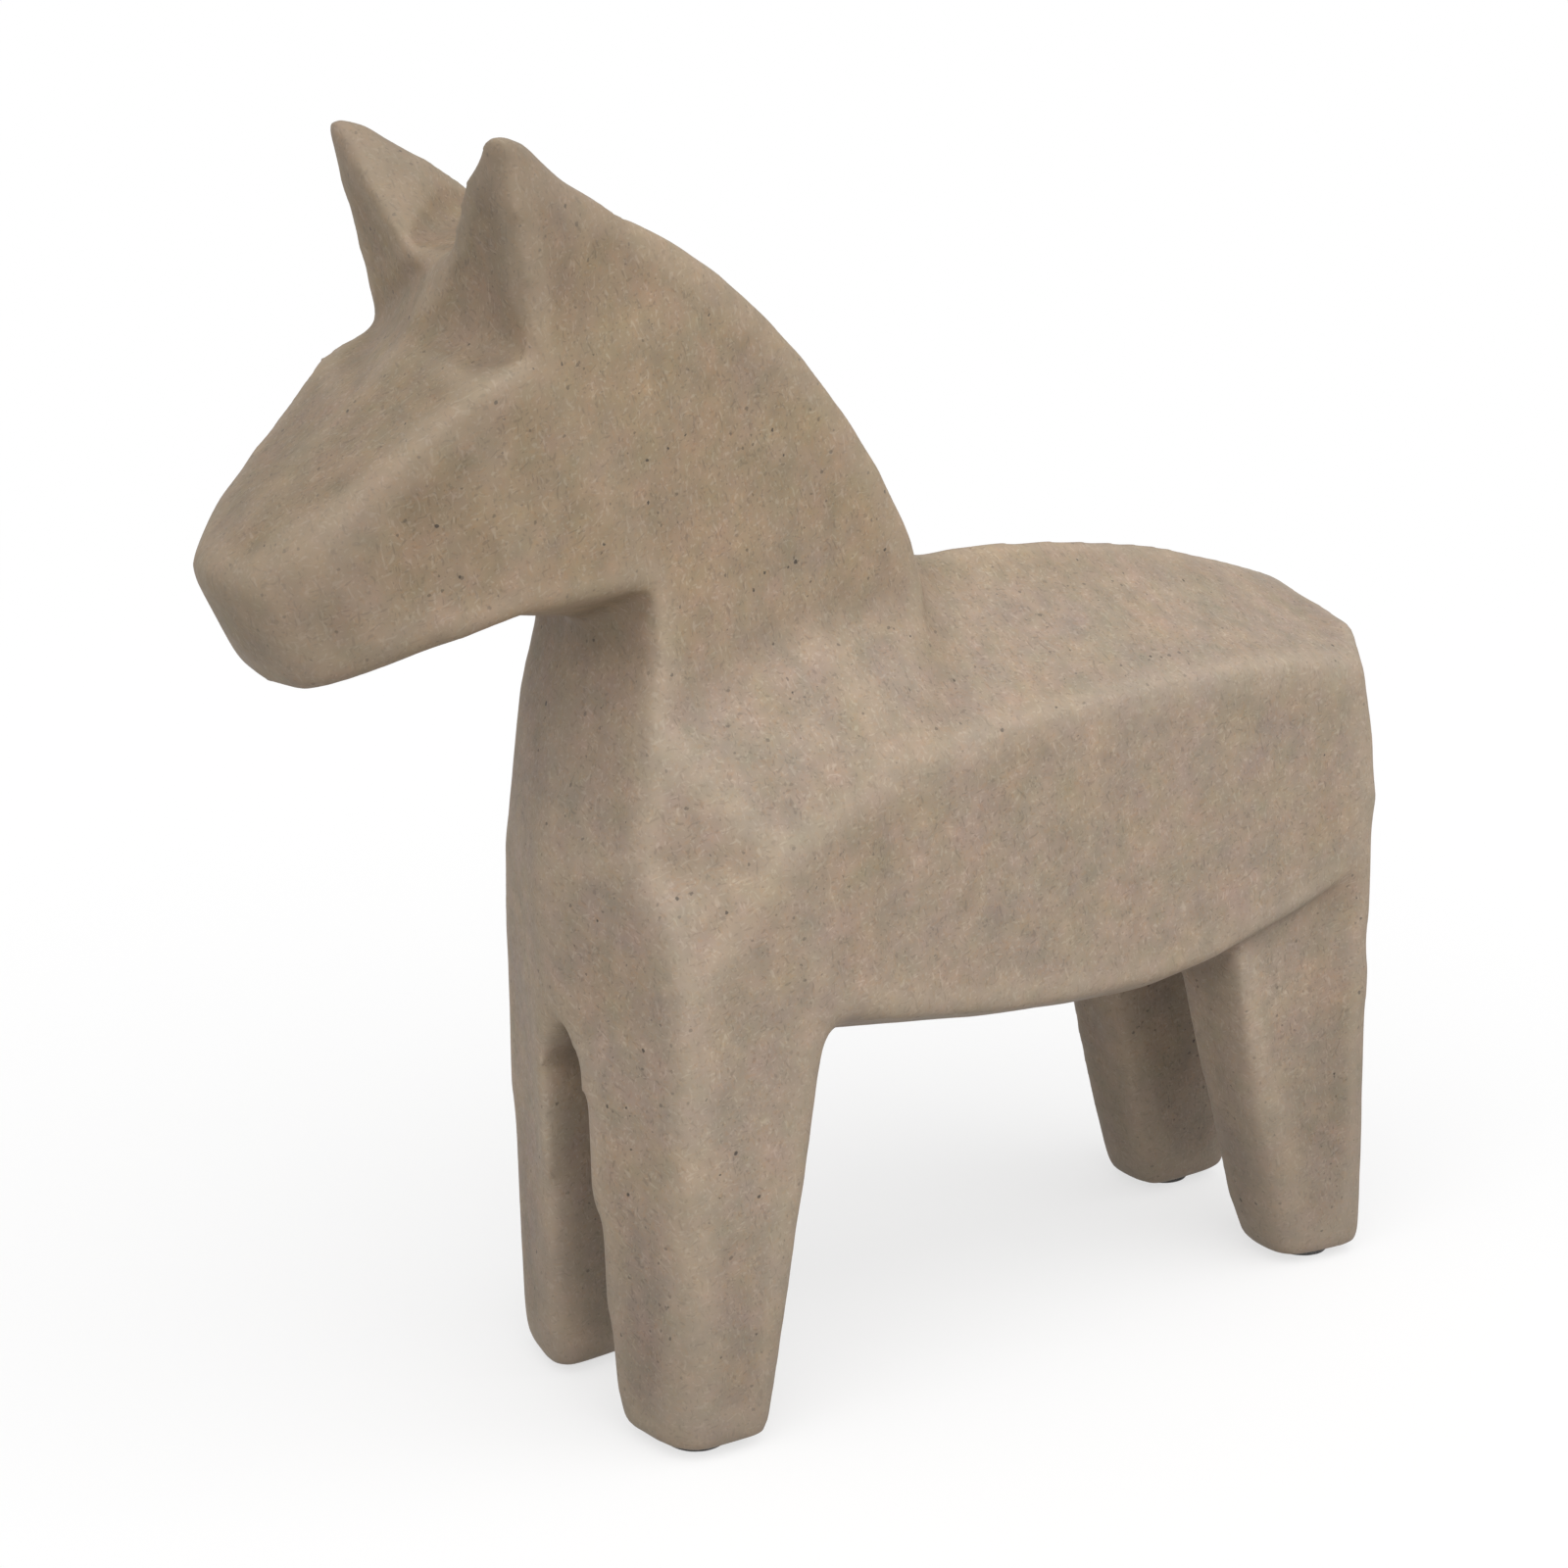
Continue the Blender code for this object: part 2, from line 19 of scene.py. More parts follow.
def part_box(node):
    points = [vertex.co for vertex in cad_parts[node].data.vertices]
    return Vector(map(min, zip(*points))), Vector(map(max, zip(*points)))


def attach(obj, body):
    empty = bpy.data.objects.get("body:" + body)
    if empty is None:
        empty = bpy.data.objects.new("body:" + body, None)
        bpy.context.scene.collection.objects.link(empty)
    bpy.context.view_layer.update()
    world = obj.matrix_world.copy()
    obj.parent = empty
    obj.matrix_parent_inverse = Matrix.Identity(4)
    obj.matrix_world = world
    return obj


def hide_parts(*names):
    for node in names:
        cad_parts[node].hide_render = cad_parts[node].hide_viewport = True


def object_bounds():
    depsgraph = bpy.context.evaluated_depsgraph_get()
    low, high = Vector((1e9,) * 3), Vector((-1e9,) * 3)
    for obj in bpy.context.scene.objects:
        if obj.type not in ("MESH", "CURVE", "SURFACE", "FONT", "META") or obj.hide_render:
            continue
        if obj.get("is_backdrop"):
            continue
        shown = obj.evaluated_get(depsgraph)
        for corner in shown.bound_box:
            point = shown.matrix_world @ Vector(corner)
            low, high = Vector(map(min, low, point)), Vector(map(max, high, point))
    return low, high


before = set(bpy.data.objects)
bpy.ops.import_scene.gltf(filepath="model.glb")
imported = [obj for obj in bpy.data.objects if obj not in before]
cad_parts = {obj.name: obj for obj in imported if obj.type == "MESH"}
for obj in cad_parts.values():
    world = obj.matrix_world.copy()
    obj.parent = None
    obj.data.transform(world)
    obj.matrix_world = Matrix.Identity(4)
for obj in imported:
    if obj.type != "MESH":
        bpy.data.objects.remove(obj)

solid_box = [list(corner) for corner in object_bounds()]
print("solids:", sorted(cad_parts))
print("box of the solids in mm:", [[round(1000 * v, 1) for v in corner] for corner in solid_box])

# %% [markdown]
# ## Camera
# The picture was taken from the horse's front left, from a little higher than its ears. An azimuth
# of 0 would look along +Y at the horse's face. The distance matters as much as the angle: the near
# legs look clearly larger than the far ones, as they do from a little over two heights away. A
# picture gives no more than that ratio. The half metre below follows from a height of 22 cm, which
# is a guess, and the lens is chosen to frame the horse. Three helpers turn two angles into a
# direction, add an object to the scene, and stand a camera or a lamp off, aimed at the horse.

# %% Camera
CAMERA_AZIMUTH = math.radians(56.47)
CAMERA_ELEVATION = math.radians(16.09)
CAMERA_DISTANCE = 0.504
CAMERA_TARGET = Vector((0.0, -0.0081, 0.1082))
LENS_MM = 66.1
SENSOR_MM = 36.0
NEAREST = 0.01


def direction(azimuth, elevation):
    """Way to a place round the horse; azimuth 0 is in front of its face, 90 degrees on its left."""
    level = math.cos(elevation)
    return Vector((math.sin(azimuth) * level, -math.cos(azimuth) * level, math.sin(elevation)))


def add_object(name, data):
    """Object in the scene, for a mesh, a camera or a lamp."""
    obj = bpy.data.objects.new(name, data)
    bpy.context.scene.collection.objects.link(obj)
    return obj


def stand_off(obj, way, distance):
    """Put a camera or a lamp on one side of the horse, looking at it."""
    obj.location = CAMERA_TARGET + way * distance
    obj.rotation_euler = way.to_track_quat("Z", "Y").to_euler()


camera = add_object("camera", bpy.data.cameras.new("camera"))
camera.data.lens = LENS_MM
camera.data.sensor_width = SENSOR_MM
camera.data.clip_start = NEAREST
stand_off(camera, direction(CAMERA_AZIMUTH, CAMERA_ELEVATION), CAMERA_DISTANCE)
bpy.context.scene.camera = camera
bpy.context.scene.view_settings.view_transform = "Standard"
print("camera at", [round(v, 3) for v in camera.location])

# %% [markdown]
# ## Small helpers for node trees
# A material is a little network: each node makes or changes a value, and wires carry the values
# on. Written out call by call, such a network gets long, so a few helpers do the repeated work.
# The first adds a node and fills its inputs, and the second joins an output to an input. The rest
# are short names for nodes that come back again and again.

# %% Node helpers
def add_node(tree, kind, inputs=None, **settings):
    """A node of one kind, with its settings and the values or wires of its inputs."""
    node = tree.nodes.new(f"ShaderNode{kind}")
    for name, value in settings.items():
        setattr(node, name, value)
    for key, value in (inputs or {}).items():
        feed(tree, value, node.inputs[key])
    return node


def feed(tree, value, socket):
    """Wire an output to an input, or set the input's own value."""
    if isinstance(value, bpy.types.NodeSocket):
        tree.links.new(value, socket)
    elif isinstance(value, (tuple, list)) and socket.type == "RGBA":
        socket.default_value = (*value, 1.0)
    else:
        socket.default_value = value


def maths(tree, operation, *values, clamp=False):
    """Output of a Math node."""
    node = add_node(tree, "Math", dict(enumerate(values)), operation=operation, use_clamp=clamp)
    return node.outputs[0]


def vector_maths(tree, operation, first, second, output=0):
    """Output of a Vector Math node: 0 is a vector, and "Value" a number."""
    return add_node(tree, "VectorMath", {0: first, 1: second}, operation=operation).outputs[output]


def blend_colours(tree, factor, first, second, blend_type="MIX"):
    """Output of a colour Mix node."""
    inputs = {0: factor, 6: first, 7: second}
    return add_node(tree, "Mix", inputs, data_type="RGBA", blend_type=blend_type).outputs[2]


def grey(tree, value):
    """A value as a colour."""
    return add_node(tree, "CombineColor", {0: value, 1: value, 2: value}).outputs[0]


def step_up(tree, value, low, high):
    """0 below low, 1 above high, and smooth in between."""
    inputs = {"Value": value, "From Min": low, "From Max": high}
    return add_node(tree, "MapRange", inputs, interpolation_type="SMOOTHSTEP").outputs["Result"]


def new_group(name, inputs, outputs):
    """Empty shader group. Inputs are a place and the given values, and outputs have a kind each."""
    group = bpy.data.node_groups.new(name, "ShaderNodeTree")
    for label, value in {"Place": (0.0, 0.0, 0.0), **inputs}.items():
        kind = "Vector" if isinstance(value, tuple) else "Float"
        socket = group.interface.new_socket(label, in_out="INPUT", socket_type=f"NodeSocket{kind}")
        socket.default_value = value
    for label, kind in outputs.items():
        group.interface.new_socket(label, in_out="OUTPUT", socket_type=f"NodeSocket{kind}")
    entry = group.nodes.new("NodeGroupInput")
    leave = group.nodes.new("NodeGroupOutput")
    return group, entry.outputs, leave.inputs


def use_group(tree, group, **values):
    """Outputs of a group that is placed in a material with its own values."""
    return add_node(tree, "Group", values, node_tree=group).outputs


def new_material(name):
    """Material with its shader, and the place on the object that every pattern starts from."""
    material = bpy.data.materials.new(name)
    material.use_nodes = True
    tree = material.node_tree
    shader = tree.nodes["Principled BSDF"]
    place = add_node(tree, "TexCoord").outputs["Object"]
    return material, tree, shader, place


def finish(tree, shader, tone, rough, height, strength, depth):
    """Colour, roughness and fine relief of a shader; depth is the relief's height in metres."""
    tree.links.new(tone, shader.inputs["Base Color"])
    tree.links.new(rough, shader.inputs["Roughness"])
    bump = add_node(tree, "Bump", {"Height": height, "Strength": strength, "Distance": depth})
    tree.links.new(bump.outputs[0], shader.inputs["Normal"])

# %% [markdown]
# ## Floor and background
# The photograph is a cut-out on white. A floor that is truly white would flood the horse with
# light from below, which the dark undersides in the picture rule out. So the floor is a plain grey
# for the light that falls on it, and nearly white paint, mixed with plain white, for the camera.
# What is left of its own shading keeps a soft shadow under the feet, and fades into the white a
# little way off, so that no horizon shows. Mirror-like and see-through rays see the same white as
# the camera.

# %% Floor
FLOOR_HALF = 4.0
FLOOR_FOR_LIGHT = (0.33, 0.31, 0.29)
FLOOR_FOR_CAMERA = (0.97, 0.97, 0.97)
FLOOR_OWN_WHITE = 0.65
FLOOR_FADE = (0.25, 0.90)
WHITE = (1.0, 1.0, 1.0)


def seen_directly(tree):
    """1 for rays of the camera, of mirrors and of glass, and 0 for the light that bounces."""
    path = add_node(tree, "LightPath").outputs
    seen = maths(tree, "MAXIMUM", path["Is Camera Ray"], path["Is Glossy Ray"])
    return maths(tree, "MAXIMUM", seen, path["Is Transmission Ray"])


def floor_material():
    material, tree, shader, place = new_material("pale_floor")
    seen = seen_directly(tree)
    from_horse = vector_maths(tree, "DISTANCE", place, (0.0, 0.0, 0.0), "Value")
    far = step_up(tree, from_horse, *FLOOR_FADE)
    paint = blend_colours(tree, seen, FLOOR_FOR_LIGHT, FLOOR_FOR_CAMERA)
    tree.links.new(paint, shader.inputs["Base Color"])
    shader.inputs["Roughness"].default_value = 1.0
    shader.inputs["Specular IOR Level"].default_value = 0.0
    glow = add_node(tree, "Emission", {"Color": WHITE, "Strength": 1.0}).outputs[0]
    white = maths(tree, "MULTIPLY_ADD", far, 1.0 - FLOOR_OWN_WHITE, FLOOR_OWN_WHITE)
    share = maths(tree, "MULTIPLY", seen, white)
    mix = add_node(tree, "MixShader", {0: share, 1: shader.outputs[0], 2: glow})
    tree.links.new(mix.outputs[0], tree.nodes["Material Output"].inputs["Surface"])
    return material


bm = bmesh.new()
bmesh.ops.create_grid(bm, x_segments=1, y_segments=1, size=FLOOR_HALF)
floor_mesh = bpy.data.meshes.new("floor")
bm.to_mesh(floor_mesh)
bm.free()
floor_mesh.materials.append(floor_material())
floor = add_object("floor", floor_mesh)
floor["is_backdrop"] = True
print("floor:", 2 * FLOOR_HALF, "m wide")

# %% [markdown]
# ## Light
# The facets tell how the picture was lit. The side of the horse that faces the lamp is evenly
# bright, its back is a little brighter, the chest is clearly darker, and the insides of the legs
# are darkest. No facet has a hard shadow. That is one very large soft screen on the horse's left
# and a dimmer room all round, a little brighter in front of it. Both are painted on the
# world, as a brightness that depends on the direction, and a wide lamp in front of the screen adds
# the last bit of direction.

# %% Lamp and world
SCREEN_AZIMUTH = math.radians(77.0)
SCREEN_ELEVATION = math.radians(32.0)
SCREEN_EDGE = (0.30, 0.55)
SCREEN_BRIGHT = 1.25
ROOM_SIDES = 0.38
ROOM_CEILING = 0.36
ROOM_BELOW = 0.22
ROOM_FRONT = 0.27
FRONT_AZIMUTH = math.radians(30.0)
LAMP_ELEVATION = math.radians(45.0)
LAMP_DISTANCE = 1.5
LAMP_SIZE = 1.2
LAMP_WATTS = 1.0

lamp = add_object("soft_lamp", bpy.data.lights.new("soft_lamp", "AREA"))
lamp.data.shape = "DISK"
lamp.data.size = LAMP_SIZE
lamp.data.energy = LAMP_WATTS
stand_off(lamp, direction(SCREEN_AZIMUTH, LAMP_ELEVATION), LAMP_DISTANCE)

to_screen = direction(SCREEN_AZIMUTH, SCREEN_ELEVATION)
world = bpy.data.worlds.new("studio")
bpy.context.scene.world = world
world.use_nodes = True
sky = world.node_tree
way = add_node(sky, "TexCoord").outputs["Generated"]
facing = vector_maths(sky, "DOT_PRODUCT", way, to_screen, "Value")
screen = step_up(sky, facing, *SCREEN_EDGE)
up = add_node(sky, "SeparateXYZ", {0: way}).outputs["Z"]
upward = maths(sky, "MAXIMUM", up, 0.0)
room = maths(sky, "MULTIPLY_ADD", upward, ROOM_CEILING - ROOM_SIDES, ROOM_SIDES)
ahead = vector_maths(sky, "DOT_PRODUCT", way, direction(FRONT_AZIMUTH, 0.0), "Value")
room = maths(sky, "MULTIPLY_ADD", maths(sky, "MAXIMUM", ahead, 0.0), ROOM_FRONT, room)
above = maths(sky, "MULTIPLY_ADD", screen, SCREEN_BRIGHT, room)
is_above = maths(sky, "GREATER_THAN", up, 0.0)
light = add_node(sky, "Mix", {0: is_above, 2: ROOM_BELOW, 3: above}).outputs[0]
strength = add_node(sky, "Mix", {0: seen_directly(sky), 2: light, 3: 1.0}).outputs[0]
background = sky.nodes["Background"]
background.inputs["Color"].default_value = (*WHITE, 1.0)
sky.links.new(strength, background.inputs["Strength"])
print("screen towards", [round(v, 2) for v in to_screen])

# %% [markdown]
# ## How the horse is made
# The picture shows one surface, without a seam, and nothing of the inside. What this lesson says of
# moulds, halves, wires and pins is a guess. The maker is taken to cast two half shells, bond them
# on the middle plane, fill the bond line and rub everything down until no line shows. The looks
# follow the same order: one closed form of flat facets, rubbed soft along its edges, then cut in two.
# The form is given by its corners. The first table holds those on the middle plane, as (y, z) in
# metres, from between the ears round the back, under the belly and up to the face.

# %% Corners on the middle plane
FOOT_END = 0.0008
MIDDLE = {
    "ear_valley": (-0.0732, 0.2030),
    "poll": (-0.0500, 0.2100),
    "wither": (0.0163, 0.1472),
    "dock": (0.1073, 0.1324),
    "rump": (0.1135, 0.1060),
    "crotch_rear": (0.1130, 0.0680),
    "crotch": (0.0755, 0.0640),
    "belly_mid": (0.0280, 0.0645),
    "belly_front": (-0.0175, 0.0690),
    "leg_arch": (-0.0560, 0.0745),
    "chest": (-0.0580, 0.1020),
    "breast": (-0.0525, 0.1260),
    "throat": (-0.0480, 0.1430),
    "jaw_middle": (-0.0685, 0.1460),
    "chin": (-0.1045, 0.1385),
    "nose": (-0.1145, 0.1585),
    "bridge": (-0.1050, 0.1675),
    "forehead": (-0.0880, 0.1815),
    "brow": (-0.0772, 0.1922),
}

# %% [markdown]
# The other corners lie on the horse's left side. Its right side is their mirror image, so they are
# only written once, as (x, y, z).

# %% Corners of the left side
SIDE = {
    "poll_edge": (0.023, -0.0510, 0.2095),
    "wither_edge": (0.0122, 0.0150, 0.1415),
    "neck_front": (0.0211, -0.0456, 0.1399),
    "neck_middle": (0.0167, -0.0168, 0.1418),
    "breast_edge": (0.0223, -0.0482, 0.1280),
    "chest_edge": (0.0222, -0.0510, 0.1070),
    "leg_edge": (0.0270, -0.0497, 0.0970),
    "leg_ridge": (0.0310, -0.0478, 0.0820),
    "shoulder_tip": (0.0335, -0.0298, 0.1072),
    "ridge_front": (0.0315, 0.0000, 0.1195),
    "hip": (0.0315, 0.1014, 0.1220),
    "dock_edge": (0.0240, 0.1058, 0.1286),
    "hip_rear": (0.0315, 0.1055, 0.1060),
    "thigh_rear": (0.0315, 0.1061, 0.0840),
    "flank_front": (0.032, -0.0190, 0.0765),
    "belly_edge_front": (0.019, -0.0175, 0.0700),
    "belly_edge_rear": (0.019, 0.0600, 0.0624),
    "front_arch": (0.0065, -0.0545, 0.0655),
    "front_arch_rear": (0.0100, -0.0195, 0.0650),
    "thigh_front": (0.0285, 0.0738, 0.0716),
    "thigh_back": (0.0285, 0.0940, 0.0775),
    "hind_arch": (0.0110, 0.0745, 0.0620),
    "hind_arch_rear": (0.0090, 0.1130, 0.0610),
    "front_foot_inner": (0.0094, -0.0474, FOOT_END),
    "front_toe_inner": (0.0124, -0.0511, FOOT_END),
    "front_toe_outer": (0.0258, -0.0487, FOOT_END),
    "front_foot_outer": (0.0301, -0.0442, FOOT_END),
    "front_foot_heel": (0.0305, -0.0299, FOOT_END),
    "front_foot_heel_inner": (0.0110, -0.0300, FOOT_END),
    "front_knee": (0.0308, -0.0476, 0.0400),
    "front_knee_inner": (0.0078, -0.0531, 0.0350),
    "hind_foot_inner": (0.0120, 0.0920, FOOT_END),
    "hind_toe_outer": (0.0246, 0.0904, FOOT_END),
    "hind_foot_outer": (0.0289, 0.0937, FOOT_END),
    "hind_foot_heel": (0.0312, 0.1099, FOOT_END),
    "hind_foot_heel_inner": (0.0125, 0.1140, FOOT_END),
    "hind_knee": (0.0287, 0.0812, 0.0350),
    "brow_edge": (0.0275, -0.0702, 0.1902),
    "cheek": (0.0270, -0.0802, 0.1858),
    "cheek_low": (0.0221, -0.0946, 0.1730),
    "bridge_edge": (0.0195, -0.1041, 0.1655),
    "nose_edge": (0.0115, -0.1121, 0.1574),
    "chin_edge": (0.0130, -0.1032, 0.1396),
    "jaw_front": (0.0190, -0.0900, 0.1445),
    "jaw": (0.0215, -0.0685, 0.1505),
    "jaw_rear": (0.0211, -0.0465, 0.1520),
    "ear_inner": (0.0060, -0.0745, 0.2035),
    "ear_edge": (0.0294, -0.0735, 0.2080),
    "ear_top_outer": (0.0314, -0.0771, 0.2240),
    "ear_top_inner": (0.0236, -0.0786, 0.2231),
    "ear_top_back": (0.0284, -0.0706, 0.2229),
    "ear_top_back_inner": (0.0234, -0.0714, 0.2227),
    "ear_back": (0.0262, -0.0637, 0.2151),
    "ear_back_inner": (0.0187, -0.0636, 0.2168),
}

# %% [markdown]
# Some lines of the horse are bent: the crest of the neck, the back, the ridge along the flank and
# the belly. Each is a cubic curve between two corners, with two handles that pull it sideways and
# a count of points to set on it.

# %% Bent lines
CURVES = {
    "crest": ("poll", "wither", [(0.0, -0.0274, 0.2027), (0.0, 0.0043, 0.1760)], 7),
    "crest_edge": ("poll_edge", "wither_edge", [(0.0195, -0.0284, 0.2012), (0.0146, 0.0014, 0.1740)], 7),
    "spine": ("wither", "dock", [(0.0, 0.0480, 0.1472), (0.0, 0.0800, 0.1432)], 4),
    "ridge": ("ridge_front", "hip", [(0.0315, 0.0330, 0.1245), (0.0315, 0.0730, 0.1270)], 4),
    "flank": ("flank_front", "thigh_rear", [(0.032, 0.0220, 0.0690), (0.032, 0.0640, 0.0620)], 6),
    "belly_edge": (
        "belly_edge_front", "belly_edge_rear", [(0.019, 0.0080, 0.0665), (0.019, 0.0335, 0.0621)], 3
    ),
}

# %% [markdown]
# A facet is a loop of corners, counter-clockwise as seen from outside. Only the left side is
# listed again. The strips that join two bent lines, such as the top of the neck, follow from the
# lines themselves.

# %% Facets of head, neck and trunk
HEAD_AND_NECK = [
    "poll_edge brow_edge jaw_rear crest_edge_3 crest_edge_2 crest_edge_1",
    "crest_edge_3 jaw_rear neck_front crest_edge_5 crest_edge_4",
    "crest_edge_5 neck_front neck_middle crest_edge_7 crest_edge_6",
    "crest_edge_7 neck_middle wither_edge",
    "brow_edge jaw jaw_rear",
    "brow_edge cheek cheek_low bridge_edge jaw_front jaw",
    "bridge_edge nose_edge chin_edge jaw_front",
    "brow forehead cheek brow_edge",
    "forehead bridge bridge_edge cheek_low cheek",
    "bridge nose nose_edge bridge_edge",
    "nose chin chin_edge nose_edge",
    "chin jaw_middle jaw jaw_front chin_edge",
    "jaw_middle throat neck_front jaw_rear jaw",
    "ear_valley ear_inner poll_edge poll",
    "brow brow_edge ear_inner ear_valley",
]
TRUNK = [
    "neck_front breast_edge shoulder_tip ridge_front neck_middle",
    "neck_middle ridge_front wither_edge",
    "wither_edge ridge_front wither",
    "dock hip dock_edge",
    "hip_rear rump dock dock_edge hip",
    "throat breast breast_edge neck_front",
    "breast chest chest_edge breast_edge",
    "breast_edge chest_edge shoulder_tip",
    "chest_edge leg_edge shoulder_tip",
    "chest leg_arch front_arch leg_ridge leg_edge chest_edge",
    "shoulder_tip leg_edge leg_ridge flank_front",
    "shoulder_tip flank_front flank_1 flank_2 flank_3 ridge_2 ridge_1 ridge_front",
    "ridge_2 flank_3 flank_4 flank_5 flank_6 thigh_rear hip_rear hip ridge_4 ridge_3",
    "flank_front belly_edge_front belly_edge_1 flank_1",
    "flank_1 belly_edge_1 belly_edge_2 flank_2",
    "flank_2 belly_edge_2 belly_edge_3 flank_3",
    "flank_3 belly_edge_3 belly_edge_rear flank_4",
    "belly_edge_front belly_front belly_mid belly_edge_2 belly_edge_1",
    "belly_mid crotch hind_arch belly_edge_rear belly_edge_3 belly_edge_2",
    "flank_4 belly_edge_rear hind_arch thigh_front flank_5",
    "flank_5 thigh_front thigh_back flank_6",
    "flank_6 thigh_back thigh_rear",
    "leg_arch belly_front front_arch_rear front_arch",
    "belly_front belly_edge_front front_arch_rear",
    "crotch crotch_rear hind_arch_rear hind_arch",
]

# %% Facets of legs and ears
LEGS_AND_EARS = [
    "ear_top_outer ear_top_back ear_top_back_inner ear_top_inner",
    "ear_top_outer ear_edge brow_edge poll_edge ear_back ear_top_back",
    "ear_top_inner ear_inner brow_edge ear_edge ear_top_outer",
    "ear_top_back ear_back ear_back_inner ear_top_back_inner",
    "ear_back poll_edge ear_back_inner",
    "ear_top_inner ear_top_back_inner ear_back_inner poll_edge ear_inner",
    "leg_ridge front_arch front_knee_inner front_toe_inner front_toe_outer front_knee",
    "front_knee front_toe_outer front_foot_outer",
    "front_knee_inner front_foot_inner front_toe_inner",
    "leg_ridge front_knee flank_front",
    "flank_front front_knee front_foot_outer front_foot_heel",
    "flank_front front_foot_heel front_foot_heel_inner front_arch_rear belly_edge_front",
    "front_arch front_arch_rear front_foot_heel_inner front_foot_inner front_knee_inner",
    "front_toe_inner front_foot_inner front_foot_heel_inner front_foot_heel "
    "front_foot_outer front_toe_outer",
    "thigh_front hind_arch hind_foot_inner hind_toe_outer hind_knee",
    "hind_knee hind_toe_outer hind_foot_outer",
    "thigh_front hind_knee hind_foot_outer hind_foot_heel thigh_rear thigh_back",
    "thigh_rear hind_foot_heel hind_foot_heel_inner hind_arch_rear crotch_rear rump hip_rear",
    "hind_arch hind_arch_rear hind_foot_heel_inner hind_foot_inner",
    "hind_foot_inner hind_foot_heel_inner hind_foot_heel hind_foot_outer hind_toe_outer",
]
STRIPS = [("crest", "crest_edge"), ("spine", "ridge")]

# %% [markdown]
# Some facets close the hollow inside, where ears and legs begin: those are cast solid.

# %% Facets that close the hollow
HOLLOW_ENDS = [
    "brow_edge poll_edge ear_inner",
    "leg_ridge front_arch front_arch_rear belly_edge_front flank_front",
    "thigh_front hind_arch hind_arch_rear thigh_rear thigh_back",
    "thigh_rear hind_arch_rear crotch_rear rump hip_rear",
]

# %% [markdown]
# Two short functions turn the tables into a closed mesh: one finds every corner, bent lines
# included, and the other makes each facet twice, once for each side of the horse. Corners on the
# middle plane are shared by both sides, so the mesh closes by itself. The four-cornered facets of
# a strip are twisted, and a twisted facet would show a crease from corner to corner, so each strip
# is divided into a finer grid.

# %% From corners to a closed form
def curve_point(points, t):
    """Point at t on the curve through the first and last of four points."""
    while len(points) > 1:
        points = [a.lerp(b, t) for a, b in zip(points, points[1:])]
    return points[0]


def all_corners():
    corners = {name: Vector((0.0, y, z)) for name, (y, z) in MIDDLE.items()}
    corners.update({name: Vector(place) for name, place in SIDE.items()})
    for name, (start, end, handles, count) in CURVES.items():
        points = [corners[start], Vector(handles[0]), Vector(handles[1]), corners[end]]
        for step in range(1, count + 1):
            corners[f"{name}_{step}"] = curve_point(points, step / (count + 1))
    return corners


def strip_facets(first, second):
    """Facets between two bent lines."""
    a, b = (
        [CURVES[line][0]] + [f"{line}_{i + 1}" for i in range(CURVES[line][3])] + [CURVES[line][1]]
        for line in (first, second)
    )
    return [[a[i], b[i], b[i + 1], a[i + 1]] for i in range(len(a) - 1)]


STRIP_CUTS = 3


def facet_object(name, groups):
    """Object of the given facets and their mirror images."""
    corners = all_corners()
    flat = [loop.split() for group in groups for loop in group]
    twisted = [facet for strip in STRIPS for facet in strip_facets(*strip)]
    bm = bmesh.new()
    points = {}

    def vertex(corner, side):
        place = corners[corner]
        key = (corner, side if place.x > 0.0 else 1)
        if key not in points:
            points[key] = bm.verts.new((place.x * side, place.y, place.z))
        return points[key]

    def both_sides(facet):
        left = bm.faces.new([vertex(corner, 1) for corner in facet])
        return left, bm.faces.new([vertex(corner, -1) for corner in reversed(facet)])

    for facet in flat:
        both_sides(facet)
    edges = {edge for facet in twisted for face in both_sides(facet) for edge in face.edges}
    bmesh.ops.subdivide_edges(bm, edges=list(edges), cuts=STRIP_CUTS, use_grid_fill=True)
    return object_from(name, bm)


def object_from(name, bm):
    """Object from a bmesh, which is used up."""
    bmesh.ops.recalc_face_normals(bm, faces=bm.faces)
    mesh = bpy.data.meshes.new(name)
    bm.to_mesh(mesh)
    bm.free()
    return add_object(name, mesh)


form = facet_object("form", [HEAD_AND_NECK, TRUNK, LEGS_AND_EARS])
print("facets of the whole horse:", len(form.data.polygons))

# %% [markdown]
# ## Rubbing the edges
# A bevel would give every edge the same round. Rubbing with a cloth and fine paste doesn't: where
# three edges meet, or where a piece is thin, more goes. Laying an even grid over the form and
# averaging each point with its neighbours, again and again, does the same. How far the rounding
# reaches depends on the number of strokes and on the square of the grid's spacing, so a finer grid
# needs more strokes for the same round.

